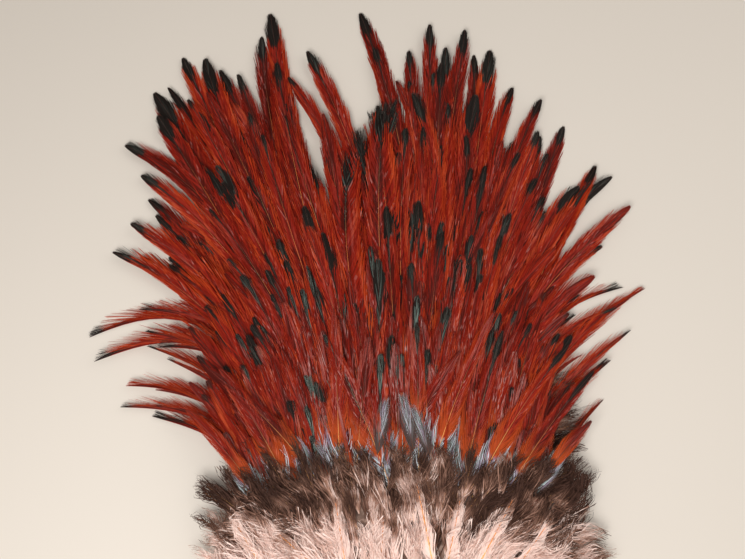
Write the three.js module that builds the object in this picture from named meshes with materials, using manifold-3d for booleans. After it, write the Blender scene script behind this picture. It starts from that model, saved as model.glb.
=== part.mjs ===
// Rooster saddle hackle: a patch of dried saddle skin with its long feathers fanned out, lying skin side down.
// Millimetres, +Z up, +Y from the cut front edge of the skin towards the feather tips.
// The origin is the middle of the skin's flat underside.
import * as THREE from "three";
import { mergeVertices } from "three/addons/utils/BufferGeometryUtils.js";
import Module from "manifold-3d";

const wasm = await Module();
wasm.setup();

// Skin patch: rounded at the tail end, cut nearly straight across the front
const SKIN_HALF_WIDTH = 58;
const SKIN_HALF_LENGTH = 44;
const SKIN_THICKNESS = 1.2;
const SKIN_TAIL_POWER = 2.3;
const SKIN_FRONT_POWER = 3.8;
const SKIN_OUTLINE_POINTS = 40;

// Layers: every feather lies in a numbered layer, and a higher layer passes over a lower one
const GAP = 0.35;
const LAYER_PITCH = 1.5;
const RIM_CROWDING = 0.45; // share of the pitch that is lost where the pile thins out towards the rim
const PILE_REACH = 150; // distance from the skin at which the pile is thinnest
const FALL_TO_FLOOR = 34; // distance over which the lowest layer comes down from the skin to the floor
const RISE_LENGTH = 7; // length in which a feather climbs from its root in the skin into layer 0
const RISE_PER_LAYER = 0.6;

// Feather lock: a flat blade with its shaft as a ridge. Each station is the share of the length from
// the root, the share of the full half width and the share of the full thickness.
const BLADE_THICKNESS = 1;
const BLADE_ROOT = [0.16, 0.75]; // shares of the width and of the thickness at the root
const BLADE_CLIMBED = [0.55, 1]; // the same where the blade has climbed into its layer
const BLADE_STATIONS = [
  [0.24, 1, 1],
  [0.44, 0.97, 0.86],
  [0.65, 0.78, 0.7],
  [0.82, 0.64, 0.58],
  [0.94, 0.48, 0.45],
];

// Rim feathers: the long ones that end in the outline of the fan. Each is the tip's place and the way
// that the tip points, in degrees from +Y towards +X.
const RIM_HALF_WIDTH = 5.2;
const RIM_LEFT = [
  [-102, 34, -73],
  [-115, 37, -92],
  [-113, 45, -88],
  [-127, 56, -108],
  [-106, 68, -86],
  [-130, 66, -109],
  [-110, 78, -88],
  [-95, 89, -63],
  [-122, 103, -70],
  [-114, 117, -58],
  [-105, 120, -50],
  [-109, 127, -54],
  [-112, 138, -60],
  [-120, 152, -66],
  [-106, 166, -34],
  [-109, 178, -36],
  [-97, 195, -27],
  [-87, 194, -20],
  [-80, 188, -28],
  [-71, 186, -20],
  [-61, 206, -1],
  [-58, 217, -8],
  [-45, 163, -7],
  [-49, 184, -33],
  [-41, 197, -32],
];
const RIM_RIGHT = [
  [-17, 218, -16],
  [5, 198, -5],
  [15, 211, 0],
  [22, 199, 1],
  [30, 208, 8],
  [35, 197, 0],
  [42, 199, 8],
  [52, 180, 21],
  [52, 154, 33],
  [64, 173, 29],
  [74, 162, 24],
  [86, 143, 30],
  [94, 137, 54],
  [87, 106, 52],
  [100, 123, 42],
  [96, 88, 73],
  [105, 87, 50],
  [92, 78, 77],
  [97, 69, 52],
  [86, 57, 45],
  [84, 41, 42],
];
const RIM_LAYERS = 5;
const TOUCH_VOLUME = 0.002; // in cubic millimetres, the most that two feathers of a layer may share
const RIM_BEND = 0.38; // share of the chord, back from the tip, that runs along the tip's heading

// The rim feathers root in nested arcs, one for each of the lowest layers
const RING_CENTRE_Y = -20;
const RING_HALF_WIDTH = 52;
const RING_HALF_WIDTH_STEP = 6.5;
const RING_HEIGHT = 58;
const RING_HEIGHT_STEP = 8;
const RING_END_ANGLE = 72;
const RING_MIDDLE_LEFT = -4;
const RING_MIDDLE_RIGHT = 2;

// Rows: shorter feathers that lie over the rim feathers, from the tail end to the cut front edge.
// Headings are [left end, right end] of the row, in degrees from +Y.
const ROWS = [
  {
    layer: 5, rootY: -3, halfSpan: 16, sag: 3, count: 8,
    length: 150, halfWidth: 9, leave: [-16, 14], arrive: [-40, 38],
  },
  {
    layer: 6, rootY: -12, halfSpan: 38, sag: 6, count: 10,
    length: 132, halfWidth: 9, leave: [-20, 12], arrive: [-36, 20],
  },
  {
    layer: 7, rootY: -20, halfSpan: 45, sag: 5, count: 11,
    length: 116, halfWidth: 8.5, leave: [-18, 10], arrive: [-32, 14],
  },
  {
    layer: 8, rootY: -27, halfSpan: 47, sag: 3, count: 12,
    length: 102, halfWidth: 8, leave: [-16, 8], arrive: [-30, 16],
  },
  {
    layer: 9, rootY: -33, halfSpan: 48, sag: 1, count: 12,
    length: 88, halfWidth: 7.6, leave: [-16, 10], arrive: [-30, 20],
  },
];
const ROW_SIDE_SHORTENING = 0.2;
const ROW_LENGTH_WAVE = 0.09; // share by which neighbouring locks differ in length
const ROW_WAVE_STEP = 2.4;

// Down cover: the thick down at the base of the front feathers, which nothing lies over
const COVER_LAYER = 10;
const COVER_TUFTS = 13;
const COVER_ROOT_Y = -38;
const COVER_ROOT_HALF_SPAN = 38;
const COVER_TIP_Y = 12;
const COVER_TIP_SAG = 18;
const COVER_TIP_HALF_SPAN = 80;
const COVER_HALF_WIDTH = 7.2;
const COVER_THICKNESS = 6.5;
const COVER_ROOT = [0.6, 1.3];
const COVER_CLIMBED = [1, 1];
const COVER_STATIONS = [
  [0.5, 1, 1],
  [0.75, 0.8, 0.75],
  [0.92, 0.45, 0.45],
];

// Down ruff: tufts of down that stand out from under the front edge and the front corners of the skin
const RUFF_TUFTS = 21;
const RUFF_END_ANGLE = 80; // degrees each way from the middle of the front edge
const RUFF_REACH_SIDE = 20;
const RUFF_REACH_FRONT = 11;
const RUFF_CORNERING = 1.4; // how soon, from the middle of the front, the tufts take their size at the sides
const RUFF_HALF_WIDTH = 7.2;
const RUFF_HEIGHT_SIDE = 6.5;
const RUFF_HEIGHT_FRONT = 13;
const RUFF_EDGE = 0.2;
const RUFF_FLOOR = 0.05;
const RUFF_STATIONS = [
  [0, 1, 1],
  [0.4, 0.95, 0.8],
  [0.75, 0.6, 0.5],
];

const SKIN_COLOUR = 0xb08a5e;
const RED_FEATHER_COLOUR = 0x8e2415;
const DARK_FEATHER_COLOUR = 0x5c1b12;
const DOWN_COLOUR = 0x5a4a44;

const radians = THREE.MathUtils.degToRad;
const mix = THREE.MathUtils.lerp;
const ease = (t) => THREE.MathUtils.smoothstep(t, 0, 1);

// How far a point is out from the middle of the skin: 1 on the skin's outline
function skinReach(x, y) {
  const power = y > 0 ? SKIN_TAIL_POWER : SKIN_FRONT_POWER;
  const across = Math.pow(Math.abs(x) / SKIN_HALF_WIDTH, power);
  const along = Math.pow(Math.abs(y) / SKIN_HALF_LENGTH, power);
  return Math.pow(across + along, 1 / power);
}

// Point of the skin's outline in a direction given in degrees from +X
function skinEdge(degrees) {
  const direction = new THREE.Vector2(1, 0).rotateAround(new THREE.Vector2(), radians(degrees));
  return direction.divideScalar(skinReach(direction.x, direction.y));
}

// Distance of a point outside the skin's outline, and 0 over the skin
function distanceFromSkin(x, y) {
  const reach = skinReach(x, y);
  return reach > 1 ? Math.hypot(x, y) * (1 - 1 / reach) : 0;
}

// Height of the underside of a layer
function layerHeight(x, y, layer) {
  const distance = distanceFromSkin(x, y);
  const bed = mix(SKIN_THICKNESS + GAP, 0, ease(distance / FALL_TO_FLOOR));
  const pitch = LAYER_PITCH * (1 - RIM_CROWDING * ease(distance / PILE_REACH));
  return bed + layer * pitch;
}

function heading(degrees) {
  return new THREE.Vector2(Math.sin(radians(degrees)), Math.cos(radians(degrees)));
}

// A closed blade along a curve in plan. under(x, y, run) is the height of its underside, where run is
// the distance from the root, and edge is the share of the thickness at which its sides lie.
function bladeSolid({ curve, stations, halfWidth, thickness, under, edge = 0.5 }) {
  const length = curve.getLength();
  const positions = [];
  for (const [share, widthShare, thicknessShare] of stations) {
    const middle = curve.getPointAt(share);
    const tangent = curve.getTangentAt(share);
    const side = new THREE.Vector2(-tangent.y, tangent.x).multiplyScalar(halfWidth * widthShare);
    const height = thickness * thicknessShare;
    const run = share * length;
    const left = middle.clone().add(side);
    const right = middle.clone().sub(side);
    positions.push(left.x, left.y, under(left.x, left.y, run) + height * edge);
    positions.push(middle.x, middle.y, under(middle.x, middle.y, run) + height);
    positions.push(right.x, right.y, under(right.x, right.y, run) + height * edge);
    positions.push(middle.x, middle.y, under(middle.x, middle.y, run));
  }
  const tip = curve.getPointAt(1);
  const tipHeight = thickness * stations.at(-1)[2] * edge;
  positions.push(tip.x, tip.y, under(tip.x, tip.y, length) + tipHeight);

  const corners = 4;
  const indices = [0, 2, 1, 0, 3, 2];
  for (let s = 0; s < stations.length - 1; s++)
    for (let c = 0; c < corners; c++) {
      const here = s * corners + c;
      const beside = s * corners + ((c + 1) % corners);
      indices.push(here, beside, here + corners, beside, beside + corners, here + corners);
    }
  const last = (stations.length - 1) * corners;
  for (let c = 0; c < corners; c++)
    indices.push(last + c, last + ((c + 1) % corners), last + corners);
  return new wasm.Manifold(
    new wasm.Mesh({
      numProp: 3,
      vertProperties: new Float32Array(positions),
      triVerts: new Uint32Array(indices),
    }),
  );
}

// A blade rooted in the skin: it climbs straight from its root into its layer and then lies in it
function rootedSolid({ curve, layer, halfWidth, thickness, rootShares, climbedShares, stations }) {
  const rise = RISE_LENGTH + RISE_PER_LAYER * layer;
  const root = SKIN_THICKNESS + GAP;
  return bladeSolid({
    curve,
    stations: [[0, ...rootShares], [rise / curve.getLength(), ...climbedShares], ...stations],
    halfWidth,
    thickness,
    under: (x, y, run) => mix(root, layerHeight(x, y, layer), Math.min(run / rise, 1)),
  });
}

function featherSolid(curve, layer, halfWidth) {
  return rootedSolid({
    curve,
    layer,
    halfWidth,
    thickness: BLADE_THICKNESS,
    rootShares: BLADE_ROOT,
    climbedShares: BLADE_CLIMBED,
    stations: BLADE_STATIONS,
  });
}

// Place across a run of tufts or locks, from -1 on the left to 1 on the right
function spreadSides(count) {
  return Array.from({ length: count }, (_, i) => (2 * i) / (count - 1) - 1);
}

function joinSolids(solids) {
  return solids.reduce((whole, solid) => whole.add(solid));
}

function geometryOf(solid) {
  const mesh = solid.getMesh();
  const geometry = new THREE.BufferGeometry();
  geometry.setAttribute("position", new THREE.BufferAttribute(mesh.vertProperties, 3));
  geometry.setIndex(new THREE.BufferAttribute(mesh.triVerts, 1));
  geometry.computeVertexNormals();
  return geometry;
}

function solidOf(geometry) {
  geometry.deleteAttribute("normal");
  geometry.deleteAttribute("uv");
  const merged = mergeVertices(geometry);
  return new wasm.Manifold(
    new wasm.Mesh({
      numProp: 3,
      vertProperties: merged.attributes.position.array,
      triVerts: new Uint32Array(merged.index.array),
    }),
  );
}

function pieceOf(name, solid, colour, roughness) {
  const material = new THREE.MeshStandardMaterial({ color: colour, roughness, metalness: 0 });
  const mesh = new THREE.Mesh(geometryOf(solid), material);
  mesh.name = name;
  return mesh;
}

function saddleSkin() {
  const outline = Array.from({ length: SKIN_OUTLINE_POINTS }, (_, i) =>
    skinEdge((360 * i) / SKIN_OUTLINE_POINTS),
  );
  const geometry = new THREE.ExtrudeGeometry(new THREE.Shape(outline), {
    depth: SKIN_THICKNESS,
    bevelEnabled: false,
  });
  return pieceOf("saddle_skin", solidOf(geometry), SKIN_COLOUR, 0.6);
}

// Root of a rim feather on one of the nested arcs
function ringRoot(ring, degrees) {
  return new THREE.Vector2(
    (RING_HALF_WIDTH - RING_HALF_WIDTH_STEP * ring) * Math.sin(radians(degrees)),
    RING_CENTRE_Y + (RING_HEIGHT - RING_HEIGHT_STEP * ring) * Math.cos(radians(degrees)),
  );
}

function rimCurve(root, [tipX, tipY, tipHeading]) {
  const tip = new THREE.Vector2(tipX, tipY);
  const bend = tip.clone().addScaledVector(heading(tipHeading), -RIM_BEND * root.distanceTo(tip));
  return new THREE.QuadraticBezierCurve(root, bend, tip);
}

function rimTips() {
  const place = (tips, from, to) =>
    tips.map((tip, i) => ({ tip, angle: mix(from, to, i / (tips.length - 1)) }));
  return [
    ...place(RIM_LEFT, -RING_END_ANGLE, RING_MIDDLE_LEFT),
    ...place(RIM_RIGHT, RING_MIDDLE_RIGHT, RING_END_ANGLE),
  ];
}

// Each rim feather lies in the next layer in turn in which it is clear of the feathers already there
function rimFeathers() {
  const layers = Array.from({ length: RIM_LAYERS }, () => []);
  let last = -1;
  return rimTips().map(({ tip, angle }, i) => {
    const name = `rim_feather_${String(i + 1).padStart(2, "0")}`;
    for (let step = 1; step <= RIM_LAYERS; step++) {
      const layer = (last + step) % RIM_LAYERS;
      const solid = featherSolid(rimCurve(ringRoot(layer, angle), tip), layer, RIM_HALF_WIDTH);
      const clear = layers[layer].every((other) => other.intersect(solid).volume() < TOUCH_VOLUME);
      if (clear) {
        layers[layer].push(solid);
        last = layer;
        return pieceOf(name, solid, RED_FEATHER_COLOUR, 0.5);
      }
    }
    throw new Error(`${name} finds no free layer`);
  });
}

// Curve of the feather at a place across a row, where side runs from -1 on the left to 1 on the right
function rowCurve(row, side, lengthFactor) {
  const end = side < 0 ? 0 : 1;
  const leave = heading(Math.abs(side) * row.leave[end]);
  const arrive = heading(Math.abs(side) * row.arrive[end]);
  const half = (row.length * lengthFactor * (1 - ROW_SIDE_SHORTENING * side * side)) / 2;
  const root = new THREE.Vector2(side * row.halfSpan, row.rootY - row.sag * side * side);
  const bend = root.clone().addScaledVector(leave, half);
  return new THREE.QuadraticBezierCurve(root, bend, bend.clone().addScaledVector(arrive, half));
}

// The feathers of a row lie edge over edge, so they are one solid
function featherRow(row, index) {
  const locks = spreadSides(row.count).map((side, i) => {
    const wave = 1 + ROW_LENGTH_WAVE * Math.sin(ROW_WAVE_STEP * i + index);
    return featherSolid(rowCurve(row, side, wave), row.layer, row.halfWidth);
  });
  return pieceOf(`feather_row_${index + 1}`, joinSolids(locks), DARK_FEATHER_COLOUR, 0.5);
}

function downCover() {
  const tufts = spreadSides(COVER_TUFTS).map((side) => {
    const root = new THREE.Vector2(side * COVER_ROOT_HALF_SPAN, COVER_ROOT_Y);
    const tip = new THREE.Vector2(side * COVER_TIP_HALF_SPAN, COVER_TIP_Y - COVER_TIP_SAG * side * side);
    return rootedSolid({
      curve: new THREE.LineCurve(root, tip),
      layer: COVER_LAYER,
      halfWidth: COVER_HALF_WIDTH,
      thickness: COVER_THICKNESS,
      rootShares: COVER_ROOT,
      climbedShares: COVER_CLIMBED,
      stations: COVER_STATIONS,
    });
  });
  return pieceOf("down_cover", joinSolids(tufts), DOWN_COLOUR, 0.9);
}

function downRuff() {
  const tufts = spreadSides(RUFF_TUFTS).map((side) => {
    const degrees = -90 + RUFF_END_ANGLE * side;
    const edge = skinEdge(degrees);
    const along = skinEdge(degrees + 1).sub(skinEdge(degrees - 1)).normalize();
    const outward = new THREE.Vector2(along.y, -along.x);
    const cornering = ease(Math.abs(side) * RUFF_CORNERING);
    const reach = mix(RUFF_REACH_FRONT, RUFF_REACH_SIDE, cornering);
    const start = edge.clone().addScaledVector(outward, GAP);
    return bladeSolid({
      curve: new THREE.LineCurve(start, start.clone().addScaledVector(outward, reach)),
      stations: RUFF_STATIONS,
      halfWidth: RUFF_HALF_WIDTH,
      thickness: mix(RUFF_HEIGHT_FRONT, RUFF_HEIGHT_SIDE, cornering),
      edge: RUFF_EDGE,
      under: () => RUFF_FLOOR,
    });
  });
  return pieceOf("down_ruff", joinSolids(tufts), DOWN_COLOUR, 0.9);
}

const hackle = new THREE.Group();
hackle.add(saddleSkin(), ...rimFeathers(), ...ROWS.map(featherRow), downCover(), downRuff());

export default hackle;
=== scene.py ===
"""Rooster saddle hackle: a patch of dried saddle skin with its long feathers fanned out.

It lies skin side down. Blender works in metres. The sizes below are millimetres, and MM turns them
into metres where a mesh is made. +Z is up, and +Y runs from the cut front edge of the skin towards
the feather tips.
"""
import logging
import math
from dataclasses import dataclass, field, replace
from enum import Enum
from typing import Any, Mapping, NamedTuple, Sequence

import bpy
import numpy as np
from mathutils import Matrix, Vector


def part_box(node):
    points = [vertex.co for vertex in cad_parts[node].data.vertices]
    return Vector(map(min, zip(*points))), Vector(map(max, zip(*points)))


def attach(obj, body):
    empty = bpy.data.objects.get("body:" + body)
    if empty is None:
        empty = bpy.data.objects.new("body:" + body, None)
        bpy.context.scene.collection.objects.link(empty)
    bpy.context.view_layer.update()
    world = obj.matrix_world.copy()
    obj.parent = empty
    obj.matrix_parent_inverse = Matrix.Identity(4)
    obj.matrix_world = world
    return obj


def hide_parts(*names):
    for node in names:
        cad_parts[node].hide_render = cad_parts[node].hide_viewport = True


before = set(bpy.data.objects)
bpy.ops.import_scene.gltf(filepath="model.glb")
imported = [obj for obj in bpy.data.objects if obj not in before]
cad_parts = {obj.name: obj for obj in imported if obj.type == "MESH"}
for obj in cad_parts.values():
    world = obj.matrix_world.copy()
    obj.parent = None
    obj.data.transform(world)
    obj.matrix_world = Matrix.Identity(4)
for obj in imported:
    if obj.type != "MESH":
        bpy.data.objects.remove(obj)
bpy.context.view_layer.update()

MM = 0.001
BODY = "root"
BEND_SAMPLES = 41
WAVE_TURNS = (0.8, 1.6)

log = logging.getLogger("saddle_hackle")

Colour = tuple[float, float, float]
Span = tuple[float, float]
Triple = tuple[float, float, float]
Socket = bpy.types.NodeSocket
Material = bpy.types.Material
Dice = np.random.Generator


class Graph:
    """A node tree built in code."""

    def __init__(self, tree: bpy.types.NodeTree) -> None:
        """Wrap a tree.

        Args:
            tree: Shader or geometry tree that the nodes go into.
        """
        self.tree = tree

    def add(
        self,
        kind: str,
        settings: Mapping[str, Any] | None = None,
        inputs: Mapping[Any, Any] | None = None,
    ) -> bpy.types.Node:
        """Add a node.

        Args:
            kind: Type of the node.
            settings: Properties of the node, set first. Stops are a ramp's places and colours.
            inputs: Value or link for each socket, by name or number.

        Returns:
            The new node.
        """
        node = self.tree.nodes.new(kind)
        for name, value in (settings or {}).items():
            if name == "stops":
                self._set_stops(node.color_ramp, value)
            else:
                setattr(node, name, value)
        for key, value in (inputs or {}).items():
            self.feed(node.inputs[key], value)
        return node

    @staticmethod
    def _set_stops(ramp: bpy.types.ColorRamp, stops: Sequence[tuple[float, Colour]]) -> None:
        """Give a colour ramp its stops."""
        while len(ramp.elements) < len(stops):
            ramp.elements.new(1.0)
        for element, (place, colour) in zip(ramp.elements, stops):
            element.position = place
            element.color = (*colour, 1.0)

    def result(
        self,
        kind: str,
        settings: Mapping[str, Any] | None = None,
        inputs: Mapping[Any, Any] | None = None,
    ) -> Socket:
        """Add a node and take its first output.

        Args:
            kind: Type of the node.
            settings: Properties of the node.
            inputs: Value or link for each socket, by name or number.

        Returns:
            The output.
        """
        return self.add(kind, settings, inputs).outputs[0]

    def feed(self, socket: Socket, value: Any) -> None:
        """Link a socket to another one, or set its value.

        Args:
            socket: Input that is fed.
            value: A Value, an output socket, or a plain value.
        """
        source = value.socket if isinstance(value, Value) else value
        if isinstance(source, Socket):
            self.tree.links.new(source, socket)
        elif socket.type == "RGBA":
            socket.default_value = (*source[:3], 1.0)
        else:
            socket.default_value = source

    def attribute(self, name: str) -> "Value":
        """Read a number from a mesh attribute in a material."""
        node = self.add("ShaderNodeAttribute", {"attribute_name": name})
        return Value(self, node.outputs["Fac"])

    def field(self, name: str, kind: str = "FLOAT") -> "Value":
        """Read an attribute in a geometry tree."""
        node = self.add("GeometryNodeInputNamedAttribute", {"data_type": kind}, {"Name": name})
        return Value(self, node.outputs["Attribute"])

    def coordinate(self, axis: str) -> "Value":
        """Read a coordinate of each point in a geometry tree."""
        place = self.result("GeometryNodeInputPosition")
        return Value(self, self.add("ShaderNodeSeparateXYZ", None, {0: place}).outputs[axis])

    def index(self) -> "Value":
        """Read the number of each point or instance in a geometry tree."""
        return Value(self, self.result("GeometryNodeInputIndex"))

    def object_place(self) -> Socket:
        """Read the Object coordinates in a material."""
        return self.add("ShaderNodeTexCoord").outputs["Object"]

    def blend(self, share: Any, first: Any, second: Any) -> Socket:
        """Mix two colours.

        Args:
            share: Share of the second colour, 0 to 1.
            first: Colour or colour link.
            second: Colour or colour link.

        Returns:
            The mixed colour.
        """
        factor, first_colour, second_colour, mixed = 0, 6, 7, 2
        inputs = {factor: share, first_colour: first, second_colour: second}
        return self.add("ShaderNodeMix", {"data_type": "RGBA"}, inputs).outputs[mixed]

    def noise(self, place: Any, scale: float, detail: float = 2.0) -> "Value":
        """Noise with a middle of 0.5.

        Args:
            place: Coordinates as a vector link.
            scale: Scale of the noise.
            detail: Number of finer octaves.

        Returns:
            The noise as a number.
        """
        inputs = {"Vector": place, "Scale": scale, "Detail": detail}
        return Value(self, self.add("ShaderNodeTexNoise", None, inputs).outputs["Fac"])

    def vector(self, x: Any, y: Any, z: Any) -> Socket:
        """Join three numbers to a vector."""
        return self.result("ShaderNodeCombineXYZ", None, {0: x, 1: y, 2: z})


class Value:
    """A number in a node tree, on which Python's operators add Math nodes."""

    def __init__(self, graph: Graph, socket: Socket) -> None:
        """Wrap an output socket.

        Args:
            graph: Graph that holds the socket.
            socket: The output.
        """
        self.graph = graph
        self.socket = socket

    def _math(self, operation: str, first: Any, second: Any = None, clamp: bool = False) -> "Value":
        """Add a Math node and return its result."""
        inputs = {0: first} if second is None else {0: first, 1: second}
        settings = {"operation": operation, "use_clamp": clamp}
        return Value(self.graph, self.graph.result("ShaderNodeMath", settings, inputs))

    def __add__(self, other: Any) -> "Value":
        """Sum."""
        return self._math("ADD", self, other)

    __radd__ = __add__

    def __sub__(self, other: Any) -> "Value":
        """Difference."""
        return self._math("SUBTRACT", self, other)

    def __rsub__(self, other: Any) -> "Value":
        """Difference from a plain number."""
        return self._math("SUBTRACT", other, self)

    def __mul__(self, other: Any) -> "Value":
        """Product."""
        return self._math("MULTIPLY", self, other)

    def __truediv__(self, other: Any) -> "Value":
        """Quotient."""
        return self._math("DIVIDE", self, other)

    def __rtruediv__(self, other: Any) -> "Value":
        """Quotient of a plain number."""
        return self._math("DIVIDE", other, self)

    def __pow__(self, power: Any) -> "Value":
        """Power."""
        return self._math("POWER", self, power)

    def __abs__(self) -> "Value":
        """Size without its sign."""
        return self._math("ABSOLUTE", self)

    def root(self) -> "Value":
        """Square root."""
        return self._math("SQRT", self)

    def sine(self) -> "Value":
        """Sine of an angle in radians."""
        return self._math("SINE", self)

    def clamped(self) -> "Value":
        """Kept between 0 and 1."""
        return self._math("ADD", self, 0.0, clamp=True)

    def at_least(self, other: Any) -> "Value":
        """The larger of two."""
        return self._math("MAXIMUM", self, other)

    def eased(self, low: float, high: float) -> "Value":
        """Smooth step from 0 at low to 1 at high.

        Args:
            low: Value that gives 0.
            high: Value that gives 1.

        Returns:
            The step.
        """
        settings = {"interpolation_type": "SMOOTHSTEP"}
        inputs = {"Value": self, "From Min": low, "From Max": high}
        return Value(self.graph, self.graph.result("ShaderNodeMapRange", settings, inputs))


def new_material(name: str, roughness: float) -> tuple[Material, Graph, bpy.types.Node]:
    """Start a node material.

    Args:
        name: Name of the material.
        roughness: Roughness all over.

    Returns:
        The material, its graph and its surface shader.
    """
    material = bpy.data.materials.new(name)
    material.use_nodes = True
    graph = Graph(material.node_tree)
    shader = material.node_tree.nodes["Principled BSDF"]
    shader.inputs["Roughness"].default_value = roughness
    return material, graph, shader


def smooth(t: np.ndarray | float) -> np.ndarray:
    """Smooth step of t from 0 to 1."""
    t = np.clip(t, 0.0, 1.0)
    return t * t * (3.0 - 2.0 * t)


@dataclass(frozen=True)
class VaneFinish:
    """Mahogany red vane with a black tip, a black line behind it and a base with a painted shimmer.

    The spans are the two ends of a smooth step. Lengths and widths are in millimetres, and the
    scales of a noise run across the vane, along it and from feather to feather.
    """

    name: str = "mahogany_vane"
    dark_red: Colour = (0.075, 0.007, 0.004)
    red: Colour = (0.28, 0.013, 0.005)
    orange: Colour = (0.55, 0.060, 0.011)
    rust: Colour = (0.55, 0.085, 0.016)
    # Painted highlight colour of the glints.
    glint: Colour = (0.58, 0.32, 0.29)
    umber: Colour = (0.085, 0.055, 0.048)
    black: Colour = (0.015, 0.010, 0.008)
    grey_tip: Colour = (0.10, 0.085, 0.07)
    # Painted sheen colours: green on the black, and the iridescence of the base.
    painted_green_sheen: Colour = (0.20, 0.27, 0.23)
    green_shimmer: Colour = (0.30, 0.39, 0.37)
    purple_shimmer: Colour = (0.36, 0.28, 0.37)
    pale_shimmer: Colour = (0.82, 0.85, 0.90)
    red_warmth: Span = (0.0, 0.45)
    orange_warmth: Span = (0.42, 0.9)
    glint_barbs: Span = (0.93, 0.97)
    glint_streaks: Span = (0.5, 0.66)
    sparkle: Span = (0.5, 0.62)
    rust_length: Span = (3.0, 16.0)
    purple_patches: Span = (0.44, 0.58)
    pale_barbs: Span = (0.6, 0.9)
    umber_length: Span = (0.1, 0.45)
    umber_barbs: Span = (0.5, 1.0)
    base_edge: Span = (0.93, 1.07)
    green_barbs: Span = (0.45, 0.95)
    grey_length: Span = (0.0, 1.6)
    grey_spots: Span = (0.6, 1.2)
    line_length: Span = (0.8, 2.6)
    streak_scales: Triple = (5.0, 0.045, 90.0)
    sparkle_scales: Triple = (3.0, 0.35, 31.0)
    patch_scales: Triple = (2.5, 0.2, 57.0)
    drop_length: float = 12.5
    drop_half_width: float = 2.5
    drop_middle: float = 0.38
    drop_spread: float = 0.46
    line_half_width: float = 2.2
    base_length: float = 12.0
    base_notch: float = 5.0
    roughness: float = 0.5
    specular: float = 0.09

    def material(self) -> Material:
        """Build the vane's material.

        Returns:
            The material. It reads the numbers that the barbs carry.
        """
        material, graph, shader = new_material(self.name, self.roughness)
        tip = graph.attribute("tip_distance")
        streak = self._grain(graph, tip, self.streak_scales, 3.0)
        colour = self._with_base(graph, self._red(graph, streak))
        black = self._black(graph)
        colour = graph.blend(self._black_share(graph, streak), colour, black)
        grey_spot = graph.attribute("spot").eased(*self.grey_spots)
        grey_share = (1.0 - tip.eased(*self.grey_length)) * grey_spot * 0.6
        colour = graph.blend(grey_share, colour, self.grey_tip)
        graph.feed(shader.inputs["Base Color"], colour)
        shader.inputs["Specular IOR Level"].default_value = self.specular
        return material

    @staticmethod
    def _grain(graph: Graph, along: Value, scales: Triple, detail: float = 2.0) -> Value:
        """Noise over the vane, different on every feather.

        Args:
            graph: The material's graph.
            along: Distance along the feather.
            scales: Scales across the vane, along it and from feather to feather.
            detail: Number of finer octaves.

        Returns:
            The noise.
        """
        across = graph.attribute("lateral") * scales[0]
        feather = graph.attribute("tone") * scales[2]
        return graph.noise(graph.vector(across, along * scales[1], feather), 1.0, detail)

    def _red(self, graph: Graph, streak: Value) -> Socket:
        """Red of the vane, dark at the shaft, with painted light: a lit orange edge and pale
        glints.

        Args:
            graph: The material's graph.
            streak: Streak noise.

        Returns:
            The colour.
        """
        side = abs(graph.attribute("lateral"))
        barb = graph.attribute("barb_tone")
        painted_sheen = graph.attribute("painted_sheen")
        tone = graph.attribute("tone")
        # Painted light: the side term turns the thin edges orange, as if lit through them.
        warmth = side * 0.5 + tone * 0.4 + barb * 0.35 + streak * 1.15 - 0.9
        colour = graph.blend(warmth.eased(*self.red_warmth), self.dark_red, self.red)
        colour = graph.blend(warmth.eased(*self.orange_warmth), colour, self.orange)
        # Painted highlights: pale glints on some barbs, and a painted sheen along the bright
        # streaks.
        sparkle = self._grain(graph, graph.attribute("tip_distance"), self.sparkle_scales)
        barb_glint = (barb + painted_sheen * 0.16).eased(*self.glint_barbs) * sparkle.eased(*self.sparkle)
        streak_glint = streak.eased(*self.glint_streaks) * painted_sheen * 0.34
        return graph.blend(barb_glint * (painted_sheen * 0.4 + 0.25) + streak_glint, colour, self.glint)

    def _with_base(self, graph: Graph, colour: Socket) -> Socket:
        """Add the rusty start of the red and, below it, the umber base with a painted shimmer.

        Args:
            graph: The material's graph.
            colour: Colour of the vane.

        Returns:
            The colour with the base. The red reaches lowest at the vane's edges.
        """
        side = abs(graph.attribute("lateral"))
        barb = graph.attribute("barb_tone")
        base = graph.attribute("root_distance")
        amount = graph.attribute("shimmer")
        notch = (0.5 - side) * amount.clamped() * self.base_notch
        red_start = amount * self.base_length + notch
        rust_share = (1.0 - (base - red_start).eased(*self.rust_length)) * 0.8
        colour = graph.blend(rust_share, colour, self.rust)

        # Painted reflection: green, purple and pale shimmer stand for the base's iridescent sheen.
        patch = self._grain(graph, base, self.patch_scales)
        purple_share = patch.eased(*self.purple_patches)
        shimmer = graph.blend(purple_share, self.green_shimmer, self.purple_shimmer)
        shimmer = graph.blend(barb.eased(*self.pale_barbs) * 0.8, shimmer, self.pale_shimmer)
        height = base / (red_start + 0.5)
        shimmer_share = height.eased(*self.umber_length) * (barb + patch).eased(*self.umber_barbs)
        shimmer = graph.blend(shimmer_share, self.umber, shimmer)
        return graph.blend(1.0 - height.eased(*self.base_edge), colour, shimmer)

    def _black(self, graph: Graph) -> Socket:
        """Black of the tip, with a painted green sheen on some barbs."""
        sheen_share = graph.attribute("barb_tone").eased(*self.green_barbs)
        return graph.blend(graph.attribute("painted_sheen") * sheen_share, self.black, self.painted_green_sheen)

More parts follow.
